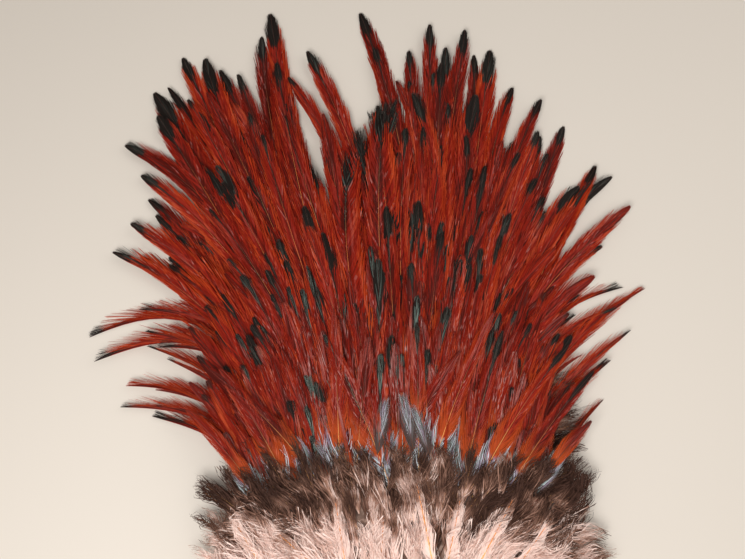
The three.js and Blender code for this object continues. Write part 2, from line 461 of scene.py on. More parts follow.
    def _black_share(self, graph: Graph, streak: Value) -> Value:
        """Share of black: the drop at the tip, and the line along the shaft behind it.

        Args:
            graph: The material's graph.
            streak: Streak noise, which frays the edge.

        Returns:
            0 on red and 1 on black.
        """
        spot = graph.attribute("spot")
        barb = graph.attribute("barb_tone")
        reach = graph.attribute("tip_distance") / (spot * self.drop_length + 0.01)
        reach = reach + (barb - 0.5) * 0.3
        from_middle = reach - self.drop_middle
        inside = (1.0 - from_middle * from_middle / self.drop_spread).at_least(0.0).root()
        out = abs(graph.attribute("lateral")) * graph.attribute("spread") / MM
        fray = (streak - 0.5) * (reach.clamped() * 3.0 + 1.4)
        drop = (inside * spot * self.drop_half_width - out - fray) * 2.0
        line_width = (1.0 - reach.eased(*self.line_length)) * graph.attribute("stripe")
        line = (line_width * self.line_half_width - out - (streak - 0.5) * 0.8) * 3.0
        return drop.at_least(line).clamped() * spot.eased(0.05, 0.3)


@dataclass(frozen=True)
class QuillFinish:
    """Horny shaft: pale at the root, rusty orange further up and dark towards the tip."""

    name: str = "quill"
    pale: Colour = (0.92, 0.52, 0.16)
    orange: Colour = (0.90, 0.27, 0.06)
    dark: Colour = (0.10, 0.02, 0.012)
    pale_length: float = 14.0
    fade_length: float = 30.0
    unevenness: float = 20.0
    dark_length: Span = (15.0, 60.0)
    roughness: float = 0.35

    def material(self) -> Material:
        """Build the quill's material."""
        material, graph, shader = new_material(self.name, self.roughness)
        base = graph.attribute("root_distance")
        grain = graph.noise(graph.vector(graph.attribute("tone") * 40.0, base * 0.08, 0.0), 1.0)
        warmth = (base + grain * self.unevenness - self.pale_length) / self.fade_length
        colour = graph.blend(warmth.clamped(), self.pale, self.orange)
        dark_share = 1.0 - graph.attribute("tip_distance").eased(*self.dark_length)
        colour = graph.blend(dark_share, colour, self.dark)
        graph.feed(shader.inputs["Base Color"], colour)
        return material


@dataclass(frozen=True)
class DownFinish:
    """Down: pale pinkish near the quill's root, then grey-brown, with dark brown ends."""

    name: str = "down"
    pale: Colour = (1.0, 0.77, 0.68)
    fawn: Colour = (0.46, 0.25, 0.18)
    grey_brown: Colour = (0.16, 0.076, 0.05)
    dark: Colour = (0.078, 0.036, 0.025)
    tuft_length: float = 30.0
    clump_scale: float = 105.0
    clump_contrast: float = 1.65
    barb_contrast: float = 0.25
    roughness: float = 0.75
    specular: float = 0.15

    def material(self) -> Material:
        """Build the down's material."""
        material, graph, shader = new_material(self.name, self.roughness)
        along = graph.attribute("root_distance") + graph.attribute("ahead")
        depth = along / self.tuft_length * 0.8 + graph.attribute("tone")
        depth = depth + (graph.attribute("barb_tone") - 0.5) * self.barb_contrast
        clump = graph.noise(graph.object_place(), self.clump_scale)
        depth = depth + (clump - 0.5) * self.clump_contrast - 0.08
        stops = ((0.3, self.pale), (0.55, self.fawn), (0.78, self.grey_brown), (1.0, self.dark))
        ramp = graph.add("ShaderNodeValToRGB", {"stops": stops}, {"Fac": depth})
        graph.feed(shader.inputs["Base Color"], ramp.outputs["Color"])
        shader.inputs["Specular IOR Level"].default_value = self.specular
        return material


@dataclass(frozen=True)
class DownBedFinish:
    """Felted dark down deep between the tufts."""

    name: str = "down_bed"
    dark: Colour = (0.17, 0.10, 0.073)
    light: Colour = (0.40, 0.26, 0.20)
    grain_scale: float = 420.0
    roughness: float = 0.9

    def material(self) -> Material:
        """Build the bed's material."""
        material, graph, shader = new_material(self.name, self.roughness)
        grain = graph.noise(graph.object_place(), self.grain_scale, 4.0)
        colour = graph.blend(grain.eased(0.4, 0.7), self.dark, self.light)
        graph.feed(shader.inputs["Base Color"], colour)
        return material


@dataclass(frozen=True)
class SkinFinish:
    """Dried skin: yellowish parchment, mottled, with a pit for each quill."""

    name: str = "dried_skin"
    light: Colour = (0.50, 0.33, 0.17)
    dark: Colour = (0.27, 0.14, 0.06)
    blotch_scale: float = 60.0
    pit_scale: float = 330.0
    pit_edge: Span = (0.12, 0.38)
    bump_height: float = 0.4
    roughness: float = 0.55

    def material(self) -> Material:
        """Build the skin's material."""
        material, graph, shader = new_material(self.name, self.roughness)
        place = graph.object_place()
        blotch = graph.noise(place, self.blotch_scale, 4.0)
        cell_inputs = {"Vector": place, "Scale": self.pit_scale}
        cells = graph.add("ShaderNodeTexVoronoi", {"feature": "F1"}, cell_inputs)
        flat = Value(graph, cells.outputs["Distance"]).eased(*self.pit_edge)
        colour = graph.blend(blotch.eased(0.35, 0.68), self.light, self.dark)
        colour = graph.blend((1.0 - flat) * 0.5, colour, self.dark)
        graph.feed(shader.inputs["Base Color"], colour)
        relief = {"Height": flat + blotch, "Strength": 0.4, "Distance": self.bump_height * MM}
        graph.feed(shader.inputs["Normal"], graph.result("ShaderNodeBump", None, relief))
        return material


@dataclass(frozen=True)
class SkinPatch:
    """Outline of the skin: rounded at the tail end and cut nearly straight across the front."""

    half_width: float
    half_length: float
    thickness: float
    tail_power: float = 2.3
    front_power: float = 3.8

    @classmethod
    def from_frame(cls) -> "SkinPatch":
        """Take the patch's size from the frame."""
        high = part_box("saddle_skin")[1]
        return cls(high.x / MM, high.y / MM, high.z / MM)

    def reach(self, x: np.ndarray, y: np.ndarray) -> np.ndarray:
        """How far out places are: 1 on the skin's outline.

        Args:
            x: Places across.
            y: Places along.

        Returns:
            The reach at each place.
        """
        power = np.where(y > 0, self.tail_power, self.front_power)
        across = (np.abs(x) / self.half_width) ** power
        along = (np.abs(y) / self.half_length) ** power
        return (across + along) ** (1.0 / power)

    def distance_outside(self, x: np.ndarray, y: np.ndarray) -> np.ndarray:
        """Distance of places outside the outline, and 0 over the skin."""
        reach = np.maximum(self.reach(x, y), 1.0)
        return np.hypot(x, y) * (1.0 - 1.0 / reach)


@dataclass(frozen=True)
class Pile:
    """The pile of feathers on the skin, in numbered layers that thin out towards the rim."""

    skin: SkinPatch
    gap: float = 0.35
    pitch: float = 1.5
    crowding: float = 0.45
    far: float = 150.0
    fall: float = 34.0
    rise: float = 7.0
    rise_per_layer: float = 0.6

    def height(self, x: np.ndarray, y: np.ndarray, layer: float) -> np.ndarray:
        """Height of the underside of a layer.

        Args:
            x: Places across.
            y: Places along.
            layer: Number of the layer.

        Returns:
            The height at each place.
        """
        outside = self.skin.distance_outside(x, y)
        bed = (self.skin.thickness + self.gap) * (1.0 - smooth(outside / self.fall))
        return bed + layer * self.pitch * (1.0 - self.crowding * smooth(outside / self.far))

    def rooted_height(
        self, x: np.ndarray, y: np.ndarray, run: np.ndarray, layer: float
    ) -> np.ndarray:
        """Height of what climbs from its root in the skin into a layer.

        Args:
            x: Places across.
            y: Places along.
            run: Distances from the root.
            layer: Number of the layer.

        Returns:
            The height at each place.
        """
        climb = np.minimum(run / (self.rise + self.rise_per_layer * layer), 1.0)
        root = self.skin.thickness + self.gap
        return root + (self.height(x, y, layer) - root) * climb


@dataclass(frozen=True)
class PlanCurve:
    """A shaft seen from above: a bend from root to tip, with a slight wave."""

    root: np.ndarray
    bend: np.ndarray
    tip: np.ndarray
    wave: float = 0.0
    wave_turns: float = 1.0
    wave_start: float = 0.0

    @classmethod
    def waving(
        cls,
        root: np.ndarray,
        bend: np.ndarray,
        tip: np.ndarray,
        wave: float,
        dice: Dice,
    ) -> "PlanCurve":
        """Shaft with a wave drawn by chance.

        Args:
            root: Its root.
            bend: Its bend point.
            tip: Its tip.
            wave: Usual height of the wave at the tip.
            dice: Random numbers.

        Returns:
            The shaft.
        """
        height = dice.normal(0.0, wave)
        turns = dice.uniform(*WAVE_TURNS)
        return cls(root, bend, tip, height, turns, dice.uniform(0.0, math.tau))

    def _bend_points(self, t: np.ndarray) -> np.ndarray:
        """Points of the bend at its parameters."""
        t = t[:, None]
        return (1 - t) ** 2 * self.root + 2 * t * (1 - t) * self.bend + t * t * self.tip

    def _measure(self) -> tuple[np.ndarray, np.ndarray]:
        """Parameters along the bend, and the distance from the root at each."""
        fine = np.linspace(0.0, 1.0, BEND_SAMPLES)
        steps = np.diff(self._bend_points(fine), axis=0)
        return fine, np.concatenate([[0.0], np.cumsum(np.hypot(steps[:, 0], steps[:, 1]))])

    def length(self) -> float:
        """Length of the bend."""
        return float(self._measure()[1][-1])

    def shortened(self, share: float, sideways: float) -> "PlanCurve":
        """A shaft beside this one that ends before it.

        Args:
            share: Share of the bend that it covers.
            sideways: Distance of its tip from this shaft.

        Returns:
            The shaft.
        """
        tip = self._bend_points(np.array([share]))[0]
        bend = (1 - share) * self.root + share * self.bend
        along = (tip - bend) / np.linalg.norm(tip - bend)
        shift = np.array([-along[1], along[0]]) * sideways
        return replace(self, bend=bend + shift / 2, tip=tip + shift)

    def at(self, distance: np.ndarray) -> tuple[np.ndarray, np.ndarray]:
        """Points and headings at distances from the root.

        Args:
            distance: Distances along the bend.

        Returns:
            Points, and unit vectors along the shaft.
        """
        fine, run = self._measure()
        t = np.interp(distance, run, fine)
        along = (1 - t)[:, None] * (self.bend - self.root) + t[:, None] * (self.tip - self.bend)
        along /= np.linalg.norm(along, axis=1, keepdims=True)
        share = distance / run[-1]
        swing = np.sin(math.tau * self.wave_turns * share + self.wave_start)
        normal = np.stack([-along[:, 1], along[:, 0]], axis=1)
        return self._bend_points(t) + normal * (self.wave * share * swing)[:, None], along


def heading(degrees: float) -> np.ndarray:
    """Unit vector of a heading in degrees from +Y towards +X."""
    return np.array([math.sin(math.radians(degrees)), math.cos(math.radians(degrees))])


def bend_through(root: np.ndarray, via: np.ndarray, tip: np.ndarray) -> np.ndarray:
    """Bend of a shaft that passes over a place on its way.

    Args:
        root: Its root.
        via: The place.
        tip: Its tip.

    Returns:
        The bend point.
    """
    before = np.linalg.norm(via - root)
    t = before / (before + np.linalg.norm(tip - via))
    return (via - (1 - t) ** 2 * root - t * t * tip) / (2 * t * (1 - t))


class Guides:
    """Shafts of a piece as one mesh of lines, whose points carry what the barbs need."""

    def __init__(self) -> None:
        """Start without a shaft."""
        self.points: list[np.ndarray] = []
        self.ups: list[np.ndarray] = []
        self.values: dict[str, list[np.ndarray]] = {}

    def add(
        self, points: np.ndarray, up: np.ndarray, values: Mapping[str, np.ndarray | float]
    ) -> None:
        """Add a shaft.

        Args:
            points: Points of the shaft, in millimetres.
            up: Vector out of the vane at each point.
            values: Number for each point, or one for all, by attribute name.
        """
        self.points.append(points * MM)
        self.ups.append(up)
        named = {**values, "shaft_number": float(len(self.points) - 1)}
        for name, value in named.items():
            self.values.setdefault(name, []).append(np.broadcast_to(value, len(points)))

    def to_object(self, name: str) -> bpy.types.Object:
        """Make the mesh of lines.

        Args:
            name: Name of the object.

        Returns:
            The object.
        """
        counts = [len(p) for p in self.points]
        starts = np.concatenate([[0], np.cumsum(counts)[:-1]])
        first = np.concatenate([np.arange(s, s + c - 1) for s, c in zip(starts, counts)])
        edges = np.stack([first, first + 1], axis=1).astype(np.int32)
        mesh = bpy.data.meshes.new(name)
        mesh.vertices.add(sum(counts))
        mesh.vertices.foreach_set("co", np.concatenate(self.points).astype(np.float32).ravel())
        mesh.edges.add(len(edges))
        mesh.edges.foreach_set("vertices", edges.ravel())
        up = mesh.attributes.new("up", "FLOAT_VECTOR", "POINT")
        up.data.foreach_set("vector", np.concatenate(self.ups).astype(np.float32).ravel())
        for key, parts in self.values.items():
            attribute = mesh.attributes.new(key, "FLOAT", "POINT")
            attribute.data.foreach_set("value", np.concatenate(parts).astype(np.float32))
        mesh.update()
        obj = bpy.data.objects.new(name, mesh)
        bpy.context.scene.collection.objects.link(obj)
        return obj


@dataclass
class BarbTree:
    """Geometry Nodes tree that grows barbs on both sides of every shaft, a web and a quill.

    A barb is one unit long and one wide, and its width, camber and ripple are shares of that. The
    inputs are in metres and radians.
    """

    name: str
    barb_material: Material
    quill_material: Material
    segments: int = 2
    curve_power: float = 2.1
    width: float = 0.11
    taper: float = 0.8
    camber: float = 0.12
    closing: float = 0.0
    ripple: float = 0.0
    ripple_turns: float = 1.5
    ripple_lead: float = 1.3
    web: float = 0.0
    web_drop: float = 0.05
    fringe_spread: float = 0.45
    quill_sides: int = 3
    swaying_reach: float = 12.0
    inputs: dict[str, float] = field(
        default_factory=lambda: {
            "Barb Pitch": 0.62 * MM,
            "Roll": 0.2,
            "Lift": 0.05,
            "Yaw": 0.055,
            "Sway": 0.35 * MM,
            "Sway Size": 7.0 * MM,
            "Shortest": 0.93,
            "Longest": 1.07,
            "Seed": 1,
        }
    )

    def grow(self, guides: Guides, seed: int) -> bpy.types.Mesh:
        """Grow the barbs of a piece.

        Args:
            guides: The shafts.
            seed: Seed of everything random.

        Returns:
            The finished mesh.
        """
        obj = guides.to_object(f"{self.name}_guides")
        tree = self._tree()
        modifier = obj.modifiers.new(self.name, "NODES")
        modifier.node_group = tree
        for item in tree.interface.items_tree:
            if item.in_out == "INPUT" and item.name in self.inputs:
                given = seed if item.name == "Seed" else self.inputs[item.name]
                modifier[item.identifier] = given
        evaluated = obj.evaluated_get(bpy.context.evaluated_depsgraph_get())
        mesh = bpy.data.meshes.new_from_object(evaluated)
        obj.modifiers.remove(modifier)
        bpy.data.objects.remove(obj)
        settle(mesh)
        ColourMap().lay_out(mesh)
        return mesh

    def _tree(self) -> bpy.types.NodeTree:
        """Build the tree."""
        tree = bpy.data.node_groups.new(self.name, "GeometryNodeTree")
        face = tree.interface
        face.new_socket(name="Shafts", in_out="INPUT", socket_type="NodeSocketGeometry")
        for name in self.inputs:
            kind = "NodeSocketInt" if name == "Seed" else "NodeSocketFloat"
            face.new_socket(name=name, in_out="INPUT", socket_type=kind)
        face.new_socket(name="Feathers", in_out="OUTPUT", socket_type="NodeSocketGeometry")
        graph = Graph(tree)
        given = graph.add("NodeGroupInput").outputs
        curves = graph.result("GeometryNodeMeshToCurve", None, {"Mesh": given["Shafts"]})
        grown = [self._barbs(graph, given, curves, side) for side in (1, -1)]
        if self.web:
            grown.append(self._web(graph, curves))
        barbs = self._dress(graph, self._join(graph, grown), self.barb_material)
        quills = self._dress(graph, self._quills(graph, curves), self.quill_material)
        graph.add("NodeGroupOutput", None, {0: self._join(graph, [barbs, quills])})
        return tree

    @staticmethod
    def _join(graph: Graph, parts: Sequence[Socket]) -> Socket:
        """Join geometries."""
        node = graph.add("GeometryNodeJoinGeometry")
        for part in parts:
            graph.tree.links.new(part, node.inputs[0])
        return node.outputs[0]

    @staticmethod
    def _dress(graph: Graph, geometry: Socket, material: Material) -> Socket:
        """Realize the instances and give them their material."""
        real = graph.result("GeometryNodeRealizeInstances", None, {"Geometry": geometry})
        inputs = {"Geometry": real, "Material": material}
        return graph.result("GeometryNodeSetMaterial", None, inputs)

    @staticmethod
    def _store(
        graph: Graph, geometry: Socket, name: str, value: Any, domain: str = "POINT"
    ) -> Socket:
        """Store a number on a geometry."""
        settings = {"data_type": "FLOAT", "domain": domain}
        inputs = {"Geometry": geometry, "Name": name, "Value": value}
        return graph.result("GeometryNodeStoreNamedAttribute", settings, inputs)

    @staticmethod
    def _random(graph: Graph, low: Any, high: Any, seed: Any) -> Value:
        """A random number for each point."""
        lowest, highest, number = 2, 3, 1
        inputs = {lowest: low, highest: high, "Seed": seed}
        node = graph.add("FunctionNodeRandomValue", {"data_type": "FLOAT"}, inputs)
        return Value(graph, node.outputs[number])

    def _strip(self, graph: Graph, side: int) -> Socket:
        """One barb: a tapering strip that leaves the shaft and bends towards the tip.

        Args:
            graph: The tree's graph.
            side: 1 or -1.

        Returns:
            The strip, one unit long and one unit wide.
        """
        size = {"Size X": 1.0, "Size Y": 1.0, "Vertices X": self.segments + 1, "Vertices Y": 2}
        grid = graph.result("GeometryNodeMeshGrid", None, size)
        t = graph.coordinate("X") + 0.5
        edge = graph.coordinate("Y")
        out = (1.0 - (1.0 - t) ** self.curve_power) * (1.0 - t * t * self.closing)
        y = out + edge * self.width * (1.0 - t * self.taper)
        z = out * out * -self.camber
        if self.ripple:
            phase = t * (math.tau * self.ripple_turns)
            y = y + phase.sine() * t * self.ripple
            z = z + (phase + self.ripple_lead).sine() * t * self.ripple
        lateral = y * float(side)
        strip = self._store(graph, grid, "barb_t", t)
        strip = self._store(graph, strip, "across", edge + 0.5)
        strip = self._store(graph, strip, "lateral", lateral)
        place = graph.vector(t - edge * self.width * 0.5, lateral, z)
        moved = {"Geometry": strip, "Position": place}
        strip = graph.result("GeometryNodeSetPosition", None, moved)
        if side < 0:
            strip = graph.result("GeometryNodeFlipFaces", None, {"Mesh": strip})
        return strip

    def _rotation(
        self, graph: Graph, given: Any, tangent: Socket, seed: Value, loose: Value
    ) -> Socket:
        """Rotation of each barb: along the shaft and level with the vane, then a little askew.

        Args:
            graph: The tree's graph.
            given: Outputs of the tree's input node.
            tangent: Direction of the shaft.
            seed: Seed of the first turn.
            loose: How askew the barbs lie.

        Returns:
            The rotation.
        """
        align = "FunctionNodeAlignRotationToVector"
        ahead = graph.result(align, {"axis": "X"}, {"Vector": tangent})
        level_inputs = {"Rotation": ahead, "Vector": graph.field("up", "FLOAT_VECTOR")}
        level = graph.result(align, {"axis": "Z", "pivot_axis": "X"}, level_inputs)
        angles = [
            Value(graph, given[name]) * self._random(graph, -1.0, 1.0, seed + step) * loose
            for step, name in enumerate(("Roll", "Lift", "Yaw"))
        ]
        turn = graph.result("FunctionNodeEulerToRotation", None, {0: graph.vector(*angles)})
        turned = {"Rotation": level, "Rotate By": turn}
        return graph.result("FunctionNodeRotateRotation", {"rotation_space": "LOCAL"}, turned)

    def _barbs(self, graph: Graph, given: Any, curves: Socket, side: int) -> Socket:
        """The barbs of one side of every shaft.

        Args:
            graph: The tree's graph.
            given: Outputs of the tree's input node.
            curves: The shafts as curves.
            side: 1 or -1.

        Returns:
            The barbs as meshes.
        """
        spacing = {"Curve": curves, "Length": given["Barb Pitch"]}
        points = graph.add("GeometryNodeCurveToPoints", {"mode": "LENGTH"}, spacing).outputs
        seed = Value(graph, given["Seed"]) * 10.0 + (5.0 if side > 0 else 0.0)
        fringe = (graph.field("fringe") * float(side)).at_least(0.0)
        loose = graph.field("loose") * (1.0 + fringe)
        rotation = self._rotation(graph, given, points["Tangent"], seed, loose)
        stretch = self._random(graph, given["Shortest"], given["Longest"], seed + 3.0)
        stretch = 1.0 + (stretch - 1.0) * loose
        sideways = graph.field("spread") * (1.0 + fringe * self.fringe_spread)
        size = graph.vector(graph.field("reach") * stretch, sideways * stretch, sideways)
        placed = {
            "Points": points["Points"],
            "Instance": self._strip(graph, side),
            "Rotation": rotation,
            "Scale": size,
        }
        barbs = graph.result("GeometryNodeInstanceOnPoints", None, placed)
        tone = self._random(graph, 0.0, 1.0, seed + 4.0)
        barbs = self._store(graph, barbs, "barb_tone", tone, "INSTANCE")
        number = graph.index() * 2.0 + (1.0 if side > 0 else 2.0)
        barbs = self._store(graph, barbs, "barb_number", number, "INSTANCE")
        barbs = graph.result("GeometryNodeRealizeInstances", None, {"Geometry": barbs})
        barbs = self._sway(graph, given, barbs)
        ahead = graph.field("barb_t") * graph.field("reach") / MM
        tip_distance = graph.field("tip_distance") - ahead
        barbs = self._store(graph, barbs, "tip_distance", tip_distance)
        return self._store(graph, barbs, "ahead", ahead)

    def _sway(self, graph: Graph, given: Any, barbs: Socket) -> Socket:
        """Bend neighbouring barbs together, more towards their ends.

        Args:
            graph: The tree's graph.
            given: Outputs of the tree's input node.
            barbs: The barbs.

        Returns:
            The bent barbs.
        """
        noise_inputs = {
            "Vector": graph.result("GeometryNodeInputPosition"),
            "Scale": 1.0 / Value(graph, given["Sway Size"]),
            "Detail": 1.0,
        }
        waves = graph.add("ShaderNodeTexNoise", None, noise_inputs).outputs["Color"]
        middle = (0.5, 0.5, 0.5)
        vector_math = "ShaderNodeVectorMath"
        centred = graph.result(vector_math, {"operation": "SUBTRACT"}, {0: waves, 1: middle})
        long_barb = (graph.field("reach") / (self.swaying_reach * MM)).clamped()
        # The noise strays about a quarter from its middle, so it is made four times as strong.
        strength = graph.field("barb_t") ** 1.5 * long_barb * Value(graph, given["Sway"]) * 4.0
        scaled = {0: centred, "Scale": strength}
        offset = graph.result(vector_math, {"operation": "SCALE"}, scaled)
        return graph.result(
            "GeometryNodeSetPosition", None, {"Geometry": barbs, "Offset": offset}
        )

    def _web(self, graph: Graph, curves: Socket) -> Socket:
        """The web under the barbs: a strip along every shaft, a little below it.

        Args:
            graph: The tree's graph.
            curves: The shafts as curves.

        Returns:
            The swept web.
        """
        ends = {"Start": (-self.web_drop, self.web, 0.0), "End": (-self.web_drop, -self.web, 0.0)}
        line = graph.result("GeometryNodeCurvePrimitiveLine", None, ends)
        profile = graph.result("GeometryNodeResampleCurve", None, {"Curve": line, "Count": 3})
        y = graph.coordinate("Y")
        profile = self._store(graph, profile, "lateral", y)
        profile = self._store(graph, profile, "across", y / self.web * 0.5 + 0.5)
        half_width = graph.field("half_width")
        web = self._sweep(graph, curves, profile, half_width)
        return self._store(graph, web, "spread", half_width)

    def _quills(self, graph: Graph, curves: Socket) -> Socket:
        """The quill of every shaft.

        Args:
            graph: The tree's graph.
            curves: The shafts as curves.

        Returns:
            The swept quills. Their place across the colour map is beside the web's.
        """
        circle = {"Resolution": self.quill_sides, "Radius": 1.0}
        ring = graph.result("GeometryNodeCurvePrimitiveCircle", None, circle)
        ring = self._store(graph, ring, "across", 1.05 + graph.index() * 0.1)
        return self._sweep(graph, curves, ring, graph.field("shaft_radius"))

    @staticmethod
    def _sweep(graph: Graph, curves: Socket, profile: Socket, size: Value) -> Socket:
        """Sweep a profile along every shaft.

        Args:
            graph: The tree's graph.
            curves: The shafts as curves.
            profile: Profile, one unit in size.
            size: Size of the profile at each point, in metres.

        Returns:
            The swept mesh.
        """
        normal = {"Curve": curves, "Normal": graph.field("up", "FLOAT_VECTOR")}
        upright = graph.result("GeometryNodeSetCurveNormal", {"mode": "FREE"}, normal)
        swept = {"Curve": upright, "Profile Curve": profile, "Scale": size}
        return graph.result("GeometryNodeCurveToMesh", None, swept)


@dataclass(frozen=True)
class FeatherShape:
    """Outline of a vane, in millimetres: slender, widest at its base, with a rounded tip."""

    tip_half_width: float = 3.1
    base_half_width: float = 4.5
    tip_round: float = 14.0
    tip_power: float = 0.7
    slender_until: float = 30.0
    barb_reach: float = 18.0
    reach_share: float = 0.9
    shaft_end: float = 0.7
    shaft_radius: float = 0.28
    shaft_tip_radius: float = 0.06
    stations: int = 17
    tip_crowding: float = 1.6
    thickness: float = 1.0
    web_start: float = 9.0
    web_tip: float = 25.0
    loose_length: float = 60.0
    splay_length: float = 35.0

    def half_width(self, tip: np.ndarray, length: float) -> np.ndarray:
        """Half width of the vane.

        Args:
            tip: Distances from the tip.
            length: Length of the vane.

        Returns:
            The half width at each distance.
        """
        wide = smooth((tip - self.slender_until) / max(length - self.slender_until, 1.0))
        body = self.tip_half_width + (self.base_half_width - self.tip_half_width) * wide
        rounding = 1.0 - (1.0 - np.clip(tip / self.tip_round, 0.0, 1.0)) ** 2
        return body * rounding**self.tip_power

    def _web_share(self, tip: np.ndarray, base: np.ndarray, look: "FeatherLook") -> np.ndarray:
        """Width of the web under the barbs as a share of the vane. It is fullest at the tip.

        Args:
            tip: Distances from the tip.
            base: Distances from the start of the vane.
            look: How this feather looks.

        Returns:
            The share at each place.
        """
        share = look.width * (1.0 - 0.25 * look.splay) * (1.3 - 0.3 * smooth(tip / self.web_tip))
        return share * smooth(base / self.web_start)

    def _looseness(self, tip: np.ndarray, splay: float) -> np.ndarray:
        """How askew the barbs lie: least at the tip, unless the feather is splayed."""
        usual = 0.25 + 0.75 * smooth(tip / self.loose_length)
        return usual + splay * (1.0 - smooth(tip / self.splay_length))

    def add_to(
        self, guides: Guides, curve: PlanCurve, pile: Pile, layer: float, look: "FeatherLook"
    ) -> None:
        """Add a feather's shaft to the guides.

        Args:
            guides: Guides of the piece.
            curve: The shaft from above.
            pile: Pile that the feather lies in.
            layer: Layer of the feather.
            look: How this feather looks.
        """
        length = curve.length()
        vane = length - look.vane_start
        steps = np.linspace(1.0, 0.0, self.stations) ** self.tip_crowding
        tip = self.shaft_end + (vane - self.shaft_end) * steps
        run = length - tip
        base = run - look.vane_start
        place, along = curve.at(run)
        reach = np.minimum(self.barb_reach, tip * self.reach_share)
        spread = self.half_width(tip - reach, vane) * look.width
        roll = look.roll + look.twist * (run / length - 0.5)
        height = pile.rooted_height(place[:, 0], place[:, 1], run, layer) + self.thickness / 2
        height += np.abs(np.sin(roll)) * spread * 0.8 + look.lift * (run / length) ** 2
        side = np.stack([-along[:, 1], along[:, 0], np.zeros(self.stations)], axis=1)
        up = np.array([0.0, 0.0, 1.0]) * np.cos(roll)[:, None] + side * np.sin(roll)[:, None]
        widening = (self.shaft_radius - self.shaft_tip_radius) * tip / length
        values = {
            "half_width": self.half_width(tip, vane) * self._web_share(tip, base, look) * MM,
            "reach": reach * MM,
            "spread": spread * MM,
            "tip_distance": tip,
            "root_distance": base,
            "loose": self._looseness(tip, look.splay),
            "fringe": look.fringe,
            "shaft_radius": (self.shaft_tip_radius + widening) * MM,
            "tone": look.tone,
            "spot": look.spot,
            "stripe": look.stripe,
            "painted_sheen": look.painted_sheen,
            "shimmer": look.shimmer,
        }
        guides.add(np.column_stack([place, height]), up, values)


@dataclass(frozen=True)
class FeatherLook:
    """What differs from feather to feather."""

    tone: float
    spot: float
    stripe: float
    painted_sheen: float
    shimmer: float
    width: float
    roll: float
    twist: float
    lift: float
    vane_start: float
    splay: float = 0.0
    fringe: float = 0.0


@dataclass(frozen=True)
class LookRange:
    """How the feathers of a band may look."""

    spot_share: float = 0.8
    spot: Span = (0.7, 1.25)
    stripe: Span = (0.1, 0.4)
    width: Span = (0.85, 1.15)
    # Strength of the painted highlights and sheen that a feather may get.
    painted_sheen: float = 0.3
    shimmer: float = 0.0
    lift: float = 0.0
    roll: float = 0.2
    steepest_roll: float = 0.45
    twist: float = 0.25

    def draw(self, dice: Dice, vane_start: float) -> FeatherLook:
        """Draw the look of one feather.

        Args:
            dice: Random numbers.
            vane_start: Distance from the root at which the vane starts.

        Returns:
            The look.
        """
        spotted = dice.random() < self.spot_share
        steepest = self.steepest_roll
        return FeatherLook(
            tone=float(dice.random()),
            spot=float(dice.uniform(*self.spot)) if spotted else 0.0,
            stripe=float(dice.uniform(*self.stripe)),
            painted_sheen=self.painted_sheen * float(dice.random()),
            shimmer=self.shimmer * float(dice.random()),
            width=float(dice.uniform(*self.width)),
            roll=float(np.clip(dice.normal(0.0, self.roll), -steepest, steepest)),
            twist=float(dice.normal(0.0, self.twist)),
            lift=self.lift * float(dice.random()) ** 2,
            vane_start=vane_start,
        )


def settle(mesh: bpy.types.Mesh, floor: float = 0.1, soft: float = 0.5) -> None:
    """Lay what hangs below the floor onto it.

    Args:
        mesh: The mesh.
        floor: Lowest height, in millimetres.
        soft: Height over the floor at which the change starts, in millimetres.
    """
    places = np.empty(len(mesh.vertices) * 3, dtype=np.float32)
    mesh.vertices.foreach_get("co", places)
    places = places.reshape(-1, 3)
    over = (places[:, 2] / MM - floor - soft) / soft
    settled = (floor + soft * np.exp(np.minimum(over, 0.0))) * MM
    places[:, 2] = np.where(over < 0, settled, places[:, 2])
    mesh.vertices.foreach_set("co", places.ravel())


def read_attribute(mesh: bpy.types.Mesh, name: str) -> np.ndarray:
    """Read a number of every vertex, or zeros where the mesh has none by that name."""
    values = np.zeros(len(mesh.vertices), dtype=np.float32)
    if name in mesh.attributes:
        mesh.attributes[name].data.foreach_get("value", values)
    return values


